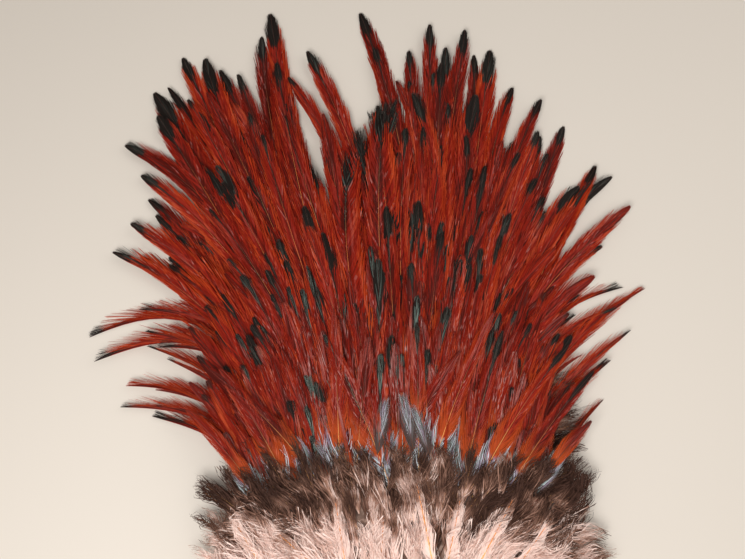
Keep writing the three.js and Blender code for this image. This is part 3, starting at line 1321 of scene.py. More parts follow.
@dataclass(frozen=True)
class ColourMap:
    """Layout of a piece's colour map: a strip for every barb, and the shafts above them.

    The margins are shares of a strip. The web lies at 0 to 1 across its strip and the quill from 1
    to the full width.
    """

    barb_columns: int = 32
    barb_share: float = 0.8
    barb_margin: Span = (0.04, 0.1)
    shaft_columns: int = 16
    shaft_margin: float = 0.05
    shaft_width: float = 1.3

    def _of_barbs(self, mesh: bpy.types.Mesh, barb: np.ndarray, across: np.ndarray) -> np.ndarray:
        """Places of the barbs' vertices on the map."""
        rows = math.ceil(float(barb.max()) / self.barb_columns)
        column, row = np.divmod(np.maximum(barb - 1.0, 0.0), rows)
        end, side = self.barb_margin
        along = end + (1.0 - 2.0 * end) * read_attribute(mesh, "barb_t")
        up = side + (1.0 - 2.0 * side) * across
        u = (column + along) / self.barb_columns
        return np.stack([u, (row + up) / rows * self.barb_share], axis=1)

    def _of_shafts(self, mesh: bpy.types.Mesh, across: np.ndarray) -> np.ndarray:
        """Places of the vertices of webs and quills on the map."""
        shaft = read_attribute(mesh, "shaft_number")
        rows = math.ceil((float(shaft.max()) + 1.0) / self.shaft_columns)
        column, row = np.divmod(shaft, rows)
        base = read_attribute(mesh, "root_distance")
        length = read_attribute(mesh, "tip_distance") + base
        room = 1.0 - 2.0 * self.shaft_margin
        sideways = self.shaft_margin + room * across / self.shaft_width
        along = self.shaft_margin + room * base / np.maximum(length, 1.0)
        v = self.barb_share + (1.0 - self.barb_share) * (row + along) / rows
        return np.stack([(column + sideways) / self.shaft_columns, v], axis=1)

    def lay_out(self, mesh: bpy.types.Mesh) -> None:
        """Add the map to a mesh.

        Args:
            mesh: The mesh, whose vertices carry the numbers of barb and shaft.
        """
        barb = read_attribute(mesh, "barb_number")
        across = read_attribute(mesh, "across")
        on_barb = (barb > 0.5)[:, None]
        barbs = self._of_barbs(mesh, barb, across)
        places = np.where(on_barb, barbs, self._of_shafts(mesh, across))
        corners = np.empty(len(mesh.loops), dtype=np.int32)
        mesh.loops.foreach_get("vertex_index", corners)
        layer = mesh.uv_layers.new(name="OFBake")
        layer.data.foreach_set("uv", places[corners].astype(np.float32).ravel())


def finish_piece(
    mesh: bpy.types.Mesh, name: str, nodes: Sequence[str]
) -> bpy.types.Object:
    """Turn a finished mesh into a piece that stands for some nodes.

    Args:
        mesh: The mesh, in its place.
        name: Name of the piece.
        nodes: Nodes that it replaces.

    Returns:
        The piece.
    """
    mesh.name = name
    piece = bpy.data.objects.new(name, mesh)
    bpy.context.scene.collection.objects.link(piece)
    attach(piece, BODY)
    if nodes:
        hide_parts(*nodes)
    triangles = sum(len(p.vertices) - 2 for p in mesh.polygons)
    log.info("%s: %d triangles", name, triangles)
    return piece


class Side(Enum):
    """Side of the fan, seen from above with the tips away from the viewer."""

    LEFT = -1
    RIGHT = 1


class RimTip(NamedTuple):
    """Tip of a feather: its place, heading and black share, and how its feather gets there.

    The company is the number of feathers close behind it, and its shaft passes over the via place.
    """

    x: float
    y: float
    heading: float
    spot: float
    company: int = 0
    via: Span | None = None


@dataclass
class RimFeathers:
    """The long feathers of one side of the fan's rim, and the ones close behind them."""

    side: Side
    pile: Pile
    shape: FeatherShape
    tree: BarbTree
    tips: Sequence[RimTip]
    behind: Sequence[RimTip]
    splayed: Sequence[RimTip]
    first_number: int
    bend: float = 0.38
    wave: float = 0.6
    ring_centre_y: float = -20.0
    ring_half_width: float = 52.0
    ring_half_width_step: float = 6.5
    ring_height: float = 58.0
    ring_height_step: float = 8.0
    ring_end: float = 72.0
    ring_middle: float = 3.0
    layers: int = 5
    bare: float = 0.2
    bare_behind: float = 0.25
    bare_splayed: float = 0.37
    slim_below: float = 96.0
    slim: FeatherShape = FeatherShape(
        tip_half_width=2.2, base_half_width=4.3, tip_round=28.0, tip_power=0.85
    )
    broad: FeatherShape = FeatherShape(tip_half_width=4.5, barb_reach=16.0)
    splay: float = 0.0
    splay_of_splayed: float = 3.0
    low_below: float = 140.0
    low_depth: float = 40.0
    least_width: float = 0.74
    full_width_y: float = 180.0
    broad_spots: Span = (1.25, 1.6)
    broadening: float = 0.4
    spot_range: Span = (0.9, 1.1)
    left_fringed: float = 0.75
    large_company: int = 3
    company_length: Span = (0.76, 0.93)
    company_spot: Span = (0.6, 1.0)
    company_spotted: float = 0.7
    company_shift: float = 2.2
    company_turn: float = 4.0
    company_top: float = 4.7
    behind_layers: Span = (2.0, 5.5)
    looks: LookRange = LookRange(lift=1.5)
    seed: int = 11

    def _angles(self) -> np.ndarray:
        """Places of the tips' roots on the ring, in degrees from +Y. The tips run clockwise."""
        angles = np.linspace(self.ring_end, self.ring_middle, len(self.tips)) * self.side.value
        return angles if self.side is Side.LEFT else angles[::-1]

    def _by_distance(self, place: RimTip) -> np.ndarray:
        """Numbers of the tips, the one nearest to a place first."""
        return np.argsort([math.hypot(tip.x - place.x, tip.y - place.y) for tip in self.tips])

    def _curve(self, tip: RimTip, angle: float, layer: float, dice: Dice) -> PlanCurve:
        """Shaft of one feather.

        Args:
            tip: Its tip.
            angle: Place of its root on the ring, in degrees from +Y.
            layer: Its layer.
            dice: Random numbers.

        Returns:
            The shaft from above.
        """
        out = heading(angle)
        across = (self.ring_half_width - self.ring_half_width_step * layer) * out[0]
        along = (self.ring_height - self.ring_height_step * layer) * out[1]
        root = np.array([across, self.ring_centre_y + along])
        end = np.array([tip.x, tip.y])
        if tip.via is None:
            bend = end - heading(tip.heading) * self.bend * np.linalg.norm(end - root)
        else:
            bend = bend_through(root, np.array(tip.via), end)
        return PlanCurve.waving(root, bend, end, self.wave, dice)

    def _add(
        self,
        guides: Guides,
        curve: PlanCurve,
        layer: float,
        spot: float,
        bare: float,
        dice: Dice,
    ) -> None:
        """Add a feather.

        Args:
            guides: Guides of the piece.
            curve: Its shaft from above.
            layer: Its layer.
            spot: Size of its black tip.
            bare: Share of its length without a vane.
            dice: Random numbers.
        """
        look = self.looks.draw(dice, curve.length() * bare)
        y = curve.tip[1]
        low = float(smooth((self.low_below - y) / self.low_depth))
        high = float(smooth(y / self.full_width_y))
        width = look.width * (self.least_width + (1.0 - self.least_width) * high)
        if self.broad_spots[0] < spot < self.broad_spots[1]:
            width += self.broadening
        spot *= float(dice.uniform(*self.spot_range))
        fringe_left = self.side is Side.LEFT or dice.random() < self.left_fringed
        # Painted light: tips low on the rim, out in the open, are warmed towards orange as if lit
        # through.
        look = replace(
            look,
            tone=look.tone + (1.0 - look.tone) * low,
            spot=spot,
            width=width,
            splay=self.splay,
            fringe=-low if fringe_left else low,
        )
        shape = self.slim if y < self.slim_below else self.shape
        shape.add_to(guides, curve, self.pile, layer, look)

    def _between(self, number: int, layer: float, spot: float, dice: Dice) -> PlanCurve:
        """Shaft of a feather behind one of the tips, spread towards the tip beside it.

        Args:
            number: Number of the tip.
            layer: Layer of the feather.
            spot: Size of its black tip.
            dice: Random numbers.

        Returns:
            The shaft from above.
        """
        tip = self.tips[number]
        beside = self._by_distance(tip)[1]
        share = dice.random() * 0.5
        near = np.array(tip[:3]) * (1 - share) + np.array(self.tips[beside][:3]) * share
        near[:2] *= dice.uniform(*self.company_length)
        near[2] += dice.normal(0.0, self.company_turn)
        angles = self._angles()
        angle = (1 - share) * angles[number] + share * angles[beside]
        return self._curve(RimTip(*near, spot), angle, layer, dice)

    def _company(self, guides: Guides, number: int, main: PlanCurve, dice: Dice) -> None:
        """Add the feathers close behind a tip: a few beside its shaft, or many spread out.

        Args:
            guides: Guides of the piece.
            number: Number of the tip.
            main: Its shaft.
            dice: Random numbers.
        """
        tip = self.tips[number]
        for _ in range(tip.company):
            layer = dice.uniform(0.0, self.company_top)
            spot = tip.spot * dice.uniform(*self.company_spot)
            spot *= dice.random() < self.company_spotted
            if tip.company < self.large_company:
                share = dice.uniform(*self.company_length)
                curve = main.shortened(share, dice.normal(0.0, self.company_shift))
            else:
                curve = self._between(number, layer, spot, dice)
            self._add(guides, curve, layer, spot, self.bare_behind, dice)

    def _add_single(
        self, guides: Guides, tip: RimTip, layer: float, bare: float, dice: Dice
    ) -> None:
        """Add a feather that ends inside the rim, rooted like the nearest rim feather.

        Args:
            guides: Guides of the piece.
            tip: Its tip.
            layer: Its layer.
            bare: Share of its length without a vane.
            dice: Random numbers.
        """
        angle = float(self._angles()[self._by_distance(tip)[0]])
        curve = self._curve(tip, angle, layer, dice)
        self._add(guides, curve, layer, tip.spot, bare, dice)

    def build(self) -> bpy.types.Object:
        """Build the piece.

        Returns:
            The piece.
        """
        dice = np.random.default_rng(self.seed + self.side.value)
        guides = Guides()
        for number, (tip, angle) in enumerate(zip(self.tips, self._angles())):
            layer = float(number % self.layers)
            main = self._curve(tip, angle, layer, dice)
            self._add(guides, main, layer, tip.spot, self.bare, dice)
            self._company(guides, number, main, dice)
        for tip in self.behind:
            layer = dice.uniform(*self.behind_layers)
            self._add_single(guides, tip, layer, self.bare_behind, dice)
        ragged = replace(self, splay=self.splay_of_splayed, shape=self.broad)
        for tip in self.splayed:
            ragged._add_single(guides, tip, self.layers, self.bare_splayed, dice)
        mesh = self.tree.grow(guides, self.seed)
        numbers = range(self.first_number, self.first_number + len(self.tips))
        nodes = [f"rim_feather_{number:02d}" for number in numbers]
        return finish_piece(mesh, f"rim_feathers_{self.side.name.lower()}", nodes)


@dataclass
class FeatherRow:
    """A band of shorter feathers rooted in a curved line across the skin."""

    number: int
    pile: Pile
    shape: FeatherShape
    tree: BarbTree
    root_y: float
    half_span: float
    sag: float
    length: float
    side_shortening: float
    leave: Span
    arrive: Span
    count: int
    looks: LookRange
    vane_share: float = 0.62
    wave: float = 1.0
    end_limit: float = 1.02
    root_scatter: float = 1.5
    leave_scatter: float = 4.0
    arrive_scatter: float = 6.0
    length_range: Span = (0.78, 1.09)
    middle_spot: float = 1.3
    side_spot: float = 0.15
    first_layer: int = 4
    layer_step: float = 0.618

    def _curve(self, side: float, dice: Dice) -> PlanCurve:
        """Shaft at a place across the row, where side runs from -1 to 1."""
        end = 0 if side < 0 else 1
        leave = heading(abs(side) * self.leave[end] + dice.normal(0.0, self.leave_scatter))
        arrive = heading(abs(side) * self.arrive[end] + dice.normal(0.0, self.arrive_scatter))
        shortening = 1 - self.side_shortening * side * side
        length = self.length * shortening * dice.uniform(*self.length_range)
        root = np.array([side * self.half_span, self.root_y - self.sag * side * side])
        root += dice.normal(0.0, self.root_scatter, 2)
        bend = root + leave * length / 2
        return PlanCurve.waving(root, bend, bend + arrive * length / 2, self.wave, dice)

    def build(self) -> bpy.types.Object:
        """Build the piece.

        Returns:
            The piece.
        """
        dice = np.random.default_rng(100 + self.number)
        guides = Guides()
        sides = np.linspace(-1.0, 1.0, self.count)
        sides += dice.normal(0.0, 0.5 / self.count, self.count)
        for i, side in enumerate(np.clip(sides, -self.end_limit, self.end_limit)):
            curve = self._curve(float(side), dice)
            layer = self.first_layer + self.number + (i * self.layer_step) % 1.0
            look = self.looks.draw(dice, curve.length() * (1 - self.vane_share))
            loss = (self.middle_spot - self.side_spot) * min(abs(side), 1.0)
            look = replace(look, spot=look.spot * (self.middle_spot - loss))
            self.shape.add_to(guides, curve, self.pile, layer, look)
        mesh = self.tree.grow(guides, self.number)
        nodes = [f"feather_row_{self.number}"]
        return finish_piece(mesh, f"feather_band_{self.number}", nodes)


class FrontVane(NamedTuple):
    """Place where a front feather's red starts, its heading, and the lengths of red and grey."""

    x: float
    y: float
    heading: float
    length: float
    grey: float = 14.0


@dataclass
class FrontFeathers:
    """The wide feathers whose orange bases and bright quills show at the front."""

    pile: Pile
    tree: BarbTree
    vanes: Sequence[FrontVane]
    shape: FeatherShape = FeatherShape(
        tip_half_width=2.6,
        base_half_width=6.5,
        slender_until=18.0,
        barb_reach=14.0,
        shaft_radius=0.42,
        thickness=2.4,
    )
    # Their looks give a strong painted highlight and sheen, as on the lower rows.
    looks: LookRange = LookRange(spot_share=0.6, spot=(0.5, 1.0), stripe=(0.3, 0.8), painted_sheen=0.8)
    layer: float = 10.2
    over: float = 0.5
    under: float = -0.25
    bare: float = 36.0
    grey_unit: float = 12.0
    high_y: float = 30.0
    ahead: float = 16.0
    turn: float = 1.5
    plain_length: float = 20.0
    spotted_run: float = 40.0
    seed: int = 5

    def _curve(self, vane: FrontVane) -> PlanCurve:
        """Shaft of one feather, which turns outwards after the start of its red part."""
        start = np.array([vane.x, vane.y])
        straight = heading(vane.heading)
        ahead = min(self.ahead, vane.length / 2)
        turned = heading(vane.heading * self.turn) * (vane.length - ahead)
        root = start - straight * self.bare
        tip = start + straight * ahead + turned
        return PlanCurve(root, bend_through(root, start, tip), tip)

    def _add(self, guides: Guides, vane: FrontVane, dice: Dice) -> None:
        """Add one feather.

        Args:
            guides: Guides of the piece.
            vane: Start and heading of its red part.
            dice: Random numbers.
        """
        look = self.looks.draw(dice, self.bare - vane.grey)
        spot = look.spot * float(smooth((vane.length - self.plain_length) / self.spotted_run))
        shimmer = vane.grey / self.grey_unit
        look = replace(look, spot=spot, shimmer=shimmer, roll=0.0, twist=0.1)
        layer = self.layer
        if vane.length < vane.grey:
            look = replace(look, width=1.3, splay=1.0)
            layer += self.over if vane.y > self.high_y else self.under
        self.shape.add_to(guides, self._curve(vane), self.pile, layer, look)

    def build(self) -> bpy.types.Object:
        """Build the piece.

        Returns:
            The piece.
        """
        dice = np.random.default_rng(self.seed)
        guides = Guides()
        for vane in self.vanes:
            self._add(guides, vane, dice)
        return finish_piece(self.tree.grow(guides, self.seed), "front_feathers", [])


@dataclass(frozen=True)
class Tuft:
    """A tuft of down.

    It has a heading in degrees, a rise over the mound, and a shade from pale to dark.
    """

    root: np.ndarray
    towards: float
    length: float
    rise: float
    shade: float
    quill: float = 0.08
    loose: float = 1.0
    stations: int = 7
    reach: Span = (15.0, 7.0)
    spread: Span = (4.2, 2.6)
    beyond: float = 60.0

    def add_to(self, guides: Guides, mound: "DownMound") -> None:
        """Add the tuft's shaft to the guides.

        Args:
            guides: Guides of the piece.
            mound: Mound that the tuft lies on.
        """
        run = np.linspace(0.0, 1.0, self.stations)
        place = self.root + np.outer(run * self.length, heading(self.towards))
        height = mound.top_height(place[:, 0], place[:, 1]) - mound.tuft_depth
        height = np.maximum(height + self.rise * np.sin(0.5 + run * 2.1), mound.lowest_tuft)
        values = {
            "half_width": 1.0 * MM,
            "reach": np.linspace(*self.reach, self.stations) * MM,
            "spread": np.linspace(*self.spread, self.stations) * MM,
            "tip_distance": (1 - run) * self.length + self.beyond,
            "root_distance": run * self.length,
            "loose": self.loose,
            "shaft_radius": self.quill * (1.0 - 0.6 * run) * MM,
            "tone": self.shade,
        }
        up = np.tile([0.0, 0.0, 1.0], (self.stations, 1))
        guides.add(np.column_stack([place, height]), up, values)


@dataclass(frozen=True)
class TuftRange:
    """How the tufts of one part of the down may differ, and how far roots and headings stray."""

    length: Span
    rise: Span
    scatter: float = 0.0
    turn: float = 0.0
    quill: float = 0.08
    loose: float = 1.0
    shade: Span = (0.0, 0.0)

    def root(self, x: float, y: float, dice: Dice) -> np.ndarray:
        """Draw a root near a place."""
        return np.array([x, y]) + dice.normal(0.0, self.scatter, 2)

    def tuft(self, root: np.ndarray, towards: float, shade: float, dice: Dice) -> Tuft:
        """Draw the length and the rise of a tuft.

        Args:
            root: Its root.
            towards: Its heading in degrees.
            shade: Its shade.
            dice: Random numbers.

        Returns:
            The tuft.
        """
        length = dice.uniform(*self.length)
        rise = dice.uniform(*self.rise)
        return Tuft(root, towards, length, rise, shade, self.quill, self.loose)


class SideLine(NamedTuple):
    """Line of tufts at a side: its sign, its end, its distance out, and how it narrows."""

    side: float
    end: float
    half: float
    narrowing: float


def cushion_faces(rings: int, spokes: int) -> list[tuple[int, ...]]:
    """Faces of a closed cushion: an upper and a lower disc of rings, joined at the rim.

    Args:
        rings: Number of rings in a disc, the innermost one first.
        spokes: Number of points in a ring.

    Returns:
        The corners of each face. The middles of the two discs are numbered last.
    """
    disc = rings * spokes
    rim = disc - spokes
    faces: list[tuple[int, ...]] = []
    for spoke in range(spokes):
        after = (spoke + 1) % spokes
        faces.append((2 * disc, spoke, after))
        faces.append((2 * disc + 1, disc + after, disc + spoke))
        for inner in range(0, rim, spokes):
            outer = inner + spokes
            upper = (inner + spoke, outer + spoke, outer + after, inner + after)
            faces.append(upper)
            faces.append(tuple(disc + corner for corner in reversed(upper)))
        faces.append((rim + spoke, disc + rim + spoke, disc + rim + after, rim + after))
    return faces


@dataclass
class DownMound:
    """The thick down at the bases of the front feathers and round the front of the skin.

    Lines and arcs are a start, an end and a step.
    """

    pile: Pile
    tree: BarbTree
    bed_material: Material
    centre_y: float = -22.0
    back: float = 30.0
    front: float = 34.0
    half_width: float = 64.0
    outline_power: float = 2.6
    top: float = 19.0
    edge_top: float = 3.0
    shoulder: float = 50.0
    shoulder_width: float = 34.0
    climb_start: float = -58.0
    climb_length: float = 34.0
    rings: int = 14
    spokes: int = 96
    bed_depth: float = 1.2
    bed_rounding: float = 1.5
    bed_roughness: float = 0.25
    bed_layer: float = 10.0
    bed_front: float = -44.0
    bed_climb: float = 18.0
    bed_floor: float = 1.6
    bed_thinnest: float = 0.8
    off_skin_depth: float = 1.5
    clear_of_table: float = 0.2
    tuft_depth: float = 0.6
    lowest_tuft: float = 1.0
    cover: TuftRange = TuftRange((18.0, 25.0), (0.5, 3.5), scatter=1.8, turn=12.0)
    collar: TuftRange = TuftRange(
        (9.0, 13.0), (1.0, 2.5), scatter=1.2, turn=14.0, shade=(0.45, 0.8)
    )
    quilled: TuftRange = TuftRange((30.0, 36.0), (4.5, 5.5), quill=0.62, loose=0.5)
    sides: TuftRange = TuftRange((10.0, 14.0), (-1.0, 2.0), scatter=1.5, shade=(0.1, 0.45))
    ruff: TuftRange = TuftRange((9.0, 13.0), (0.0, 2.0), turn=8.0)
    cover_lines: Triple = (-46.0, -3.0, 4.5)
    cover_step: float = 6.7
    cover_half: float = 57.0
    front_half: float = 46.0
    wide_from: float = -40.0
    fan_origin: float = -66.0
    fan_spread: float = 1.2
    shade_scatter: float = 0.17
    front_shade: float = -0.5
    back_shade: float = 1.2
    middle_paler: float = 0.3
    edge_darker: float = 0.3
    edge_x: float = 58.0
    pale_until: float = -32.0
    pale_fade: float = 22.0
    middle_x: float = 2.0
    middle_width: float = 12.0
    middle_lead: float = 9.0
    right_from: float = 8.0
    right_lead: float = 4.0
    collar_half: float = 50.0
    quill_ahead: float = 14.0
    quilled_shade: float = -0.3
    side_lines: tuple[SideLine, ...] = (
        SideLine(-1.0, 14.0, 52.0, 0.4),
        SideLine(1.0, 40.0, 57.0, 0.1),
    )
    side_start: float = -14.0
    side_step: float = 2.15
    side_turn: Span = (50.0, 75.0)
    tucked_from: float = 4.0
    tucked: float = 11.0
    darker_from: float = -6.0
    darker: float = 0.4
    ruff_rings: tuple[float, ...] = (0.56, 0.72, 0.84, 0.95)
    ruff_arc: Triple = (168.0, 373.0, 3.8)
    ruff_wobble: float = 1.5
    ruff_stretch: Span = (0.9, 1.05)
    ruff_flattening: float = 0.22
    ruff_shade: Span = (-0.15, 0.52)
    ruff_dark_from: float = 36.0
    ruff_darkening: float = 18.0
    ruff_scatter: float = 0.15
    seed: int = 7

    def top_height(self, x: np.ndarray, y: np.ndarray) -> np.ndarray:
        """Height of the mound's surface.

        Args:
            x: Places across.
            y: Places along.

        Returns:
            The height at each place.
        """
        climb = smooth((y - self.climb_start) / self.climb_length)
        fall = 1.0 - 0.8 * smooth((np.abs(x) - self.shoulder) / self.shoulder_width)
        return self.edge_top + (self.top - self.edge_top) * climb * fall

    def outline(self, angle: np.ndarray) -> np.ndarray:
        """Distance of the mound's outline from its centre, by angle from +X."""
        y_reach = np.where(np.sin(angle) > 0, self.back, self.front)
        across = np.abs(np.cos(angle) / self.half_width) ** self.outline_power
        along = np.abs(np.sin(angle) / y_reach) ** self.outline_power
        return (across + along) ** (-1 / self.outline_power)

    def _bed_heights(
        self, x: np.ndarray, y: np.ndarray, share: np.ndarray
    ) -> tuple[np.ndarray, np.ndarray]:
        """Heights of the bed, which is kept clear of the feathers and the skin under it.

        Args:
            x: Places across.
            y: Places along.
            share: How far out the places are, 0 to 1.

        Returns:
            The upper and the lower heights.
        """
        bumps = np.random.default_rng(self.seed).normal(0.0, self.bed_roughness, x.shape)
        top = self.top_height(x, y) + bumps - self.bed_depth - self.bed_rounding * share**6
        under = self.pile.height(x, y, self.bed_layer)
        under = under * smooth((y - self.bed_front) / self.bed_climb)
        low = np.minimum(np.maximum(under, self.bed_floor), top - self.bed_thinnest)
        off_skin = self.pile.skin.distance_outside(x, y) > 1.0
        low = np.where(off_skin, np.minimum(low, top - self.off_skin_depth), low)
        low = np.maximum(low, self.clear_of_table)
        return np.maximum(top, low + 0.5), low

    def _bed(self) -> bpy.types.Object:
        """The felted mass under the tufts, as one closed cushion."""
        angle = np.linspace(0.0, math.tau, self.spokes, endpoint=False)
        share = np.linspace(0.0, 1.0, self.rings + 1)[1:]
        x = np.outer(share, self.outline(angle) * np.cos(angle))
        y = self.centre_y + np.outer(share, self.outline(angle) * np.sin(angle))
        heights = self._bed_heights(x, y, share[:, None])
        discs = [np.stack([x, y, z], axis=-1).reshape(-1, 3) for z in heights]
        middles = np.array([[0.0, self.centre_y, float(z[0].mean())] for z in heights])
        points = np.concatenate([*discs, middles]) * MM
        mesh = bpy.data.meshes.new("down_bed")
        mesh.from_pydata(points.tolist(), [], cushion_faces(self.rings, self.spokes))
        mesh.materials.append(self.bed_material)
        mesh.shade_smooth()
        return finish_piece(mesh, "down_bed", [])

    def _cover(self) -> Guides:
        """Tufts over the bases of the front feathers."""
        dice = np.random.default_rng(self.seed + 1)
        guides = Guides()
        for y in np.arange(*self.cover_lines):
            half = self.cover_half if y > self.wide_from else self.front_half
            for x in np.arange(-half, half + 0.1, self.cover_step):
                root = self.cover.root(x, y, dice)
                fan = math.atan2(root[0] * self.fan_spread, root[1] - self.fan_origin)
                towards = math.degrees(fan) + dice.normal(0.0, self.cover.turn)
                shade = self._cover_shade(*root) + dice.normal(0.0, self.shade_scatter)
                self.cover.tuft(root, towards, shade, dice).add_to(guides, self)
        self._collar(guides, dice)
        self._quilled(guides, dice)
        self._sides(guides, dice)
        return guides

    def _cover_shade(self, x: float, y: float) -> float:
        """Shade of a tuft by its root: pale at the front, dark at the feathers and the sides."""
        middle = math.exp(-(((x - self.middle_x) / self.middle_width) ** 2))
        lead = self.middle_lead * middle + (self.right_lead if x > self.right_from else 0.0)
        back = float(smooth((y - self.pale_until + lead) / self.pale_fade))
        edge = self.edge_darker * (x / self.edge_x) ** 4
        return edge + (self.back_shade - self.middle_paler * middle) * back + self.front_shade

    def _collar(self, guides: Guides, dice: Dice) -> None:
        """Short dark tufts over the grey bases of the front feathers."""
        for x in np.arange(-self.collar_half, self.collar_half + 0.1, 4.0):
            root = self.collar.root(x, 1.0 - (x / self.collar_half) ** 2 * 8.0, dice)
            towards = x * 0.8 + dice.normal(0.0, self.collar.turn)
            shade = dice.uniform(*self.collar.shade)
            self.collar.tuft(root, towards, shade, dice).add_to(guides, self)

    def _quilled(self, guides: Guides, dice: Dice) -> None:
        """Long pale tufts in the middle of the front, whose golden quills lie open."""
        for x, y, towards in QUILLS:
            root = np.array([x, y]) - heading(towards) * self.quill_ahead
            self.quilled.tuft(root, towards, self.quilled_shade, dice).add_to(guides, self)

    def _sides(self, guides: Guides, dice: Dice) -> None:
        """Dark tufts that stick out from under the feathers at both sides."""
        for side, end, half, narrowing in self.side_lines:
            for y in np.arange(self.side_start, end, self.side_step):
                root = self.sides.root(side * (half - narrowing * max(y, 0.0)), y, dice)
                rise = dice.uniform(*self.sides.rise)
                rise -= self.tucked if y > self.tucked_from else 0.0
                towards = side * dice.uniform(*self.side_turn)
                length = dice.uniform(*self.sides.length)
                shade = dice.uniform(*self.sides.shade)
                shade += self.darker if y > self.darker_from else 0.0
                Tuft(root, towards, length, rise, shade).add_to(guides, self)

    def _ruff(self) -> Guides:
        """Tufts that spread out round the front of the skin."""
        dice = np.random.default_rng(self.seed + 2)
        guides = Guides()
        for share in self.ruff_rings:
            for angle in np.arange(*self.ruff_arc):
                spoke = math.radians(angle + dice.normal(0.0, self.ruff_wobble))
                stretch = self.ruff_stretch[0 if math.cos(spoke) < 0 else 1]
                out = float(self.outline(np.array([spoke]))[0]) * share * stretch
                out *= 1.0 - self.ruff_flattening * math.sin(spoke) ** 2
                root = np.array([math.cos(spoke) * out, self.centre_y + math.sin(spoke) * out])
                towards = 90.0 - math.degrees(spoke) + dice.normal(0.0, self.ruff.turn)
                shade = self._ruff_shade(root[0]) + dice.normal(0.0, self.ruff_scatter)
                self.ruff.tuft(root, towards, shade, dice).add_to(guides, self)
        return guides

    def _ruff_shade(self, x: float) -> float:
        """Shade of a tuft of the ruff, which darkens towards the sides."""
        side_share = float(smooth((abs(x) - self.ruff_dark_from) / self.ruff_darkening))
        return self.ruff_shade[1] * side_share + self.ruff_shade[0]

    def build(self) -> list[bpy.types.Object]:
        """Build the bed and the tufts.

        Returns:
            The pieces.
        """
        cover = self.tree.grow(self._cover(), self.seed)
        ruff = self.tree.grow(self._ruff(), self.seed + 1)
        return [
            self._bed(),
            finish_piece(cover, "down_tufts", ["down_cover"]),
            finish_piece(ruff, "down_fringe", ["down_ruff"]),
        ]


class Lamp(NamedTuple):
    """Soft square light: its place and side in millimetres, and its power in watts."""

    name: str
    place: Triple
    size: float
    power: float


@dataclass
class Studio:
    """Camera at the photograph's angle, pale floor and soft lights."""

    look_at: Triple = (-11.0, 90.0, 6.0)
    distance: float = 434.6
    elevation: float = 75.0
    lens: float = 50.0
    nearest: float = 10.0
    floor_half: float = 700.0
    floor_drop: float = 0.2
    floor_colour: Colour = (0.78, 0.70, 0.61)
    floor_roughness: float = 0.6
    lamps: tuple[Lamp, ...] = (
        Lamp("key", (-90.0, -170.0, 480.0), 240.0, 2.15),
        Lamp("fill", (420.0, 260.0, 480.0), 500.0, 0.9),
    )
    lit: Triple = (0.0, 70.0, 0.0)
    sky_colour: Colour = (1.0, 0.98, 0.95)
    sky_strength: float = 0.32

    def build(self) -> None:
        """Add the floor, the lights and the camera."""
        self._floor()
        for lamp in self.lamps:
            self._light(lamp)
        self._sky()
        self._camera()

    def _floor(self) -> None:
        """Add the floor."""
        half = self.floor_half * MM
        mesh = bpy.data.meshes.new("floor")
        corners = [(-half, -half, 0.0), (half, -half, 0.0), (half, half, 0.0), (-half, half, 0.0)]
        mesh.from_pydata(corners, [], [(0, 1, 2, 3)])
        material, graph, shader = new_material("pale_floor", self.floor_roughness)
        graph.feed(shader.inputs["Base Color"], self.floor_colour)
        mesh.materials.append(material)
        floor = bpy.data.objects.new("floor", mesh)
        floor.location.z = -self.floor_drop * MM
        bpy.context.scene.collection.objects.link(floor)

    def _light(self, lamp: Lamp) -> None:
        """Add an area light that points at the middle of the fan.

        Args:
            lamp: The light's place, size and power.
        """
        data = bpy.data.lights.new(lamp.name, "AREA")
        data.size = lamp.size * MM
        data.energy = lamp.power
        light = bpy.data.objects.new(lamp.name, data)
        light.location = Vector(lamp.place) * MM
        aim = Vector(self.lit) * MM - light.location
        light.rotation_euler = aim.to_track_quat("-Z", "Y").to_euler()
        bpy.context.scene.collection.objects.link(light)

    def _sky(self) -> None:
        """Add the even light from all round."""
        world = bpy.data.worlds.new("studio")
        world.use_nodes = True
        background = world.node_tree.nodes["Background"]
        background.inputs["Color"].default_value = (*self.sky_colour, 1.0)
        background.inputs["Strength"].default_value = self.sky_strength
        bpy.context.scene.world = world
        bpy.context.scene.view_settings.view_transform = "Standard"

    def _camera(self) -> None:
        """Add the camera."""
        tilt = math.radians(self.elevation)
        target = Vector(self.look_at) * MM
        back = Vector((0.0, -math.cos(tilt), math.sin(tilt)))
        data = bpy.data.cameras.new("camera")
        data.lens = self.lens
        data.clip_start = self.nearest * MM
        camera = bpy.data.objects.new("camera", data)
        camera.location = target + back * self.distance * MM
        camera.rotation_euler = (target - camera.location).to_track_quat("-Z", "Y").to_euler()
        bpy.context.scene.collection.objects.link(camera)
        bpy.context.scene.camera = camera


def rim_tips(*rows: Sequence[Any]) -> tuple[RimTip, ...]:
    """Tips from their plain values."""
    return tuple(RimTip(*row) for row in rows)


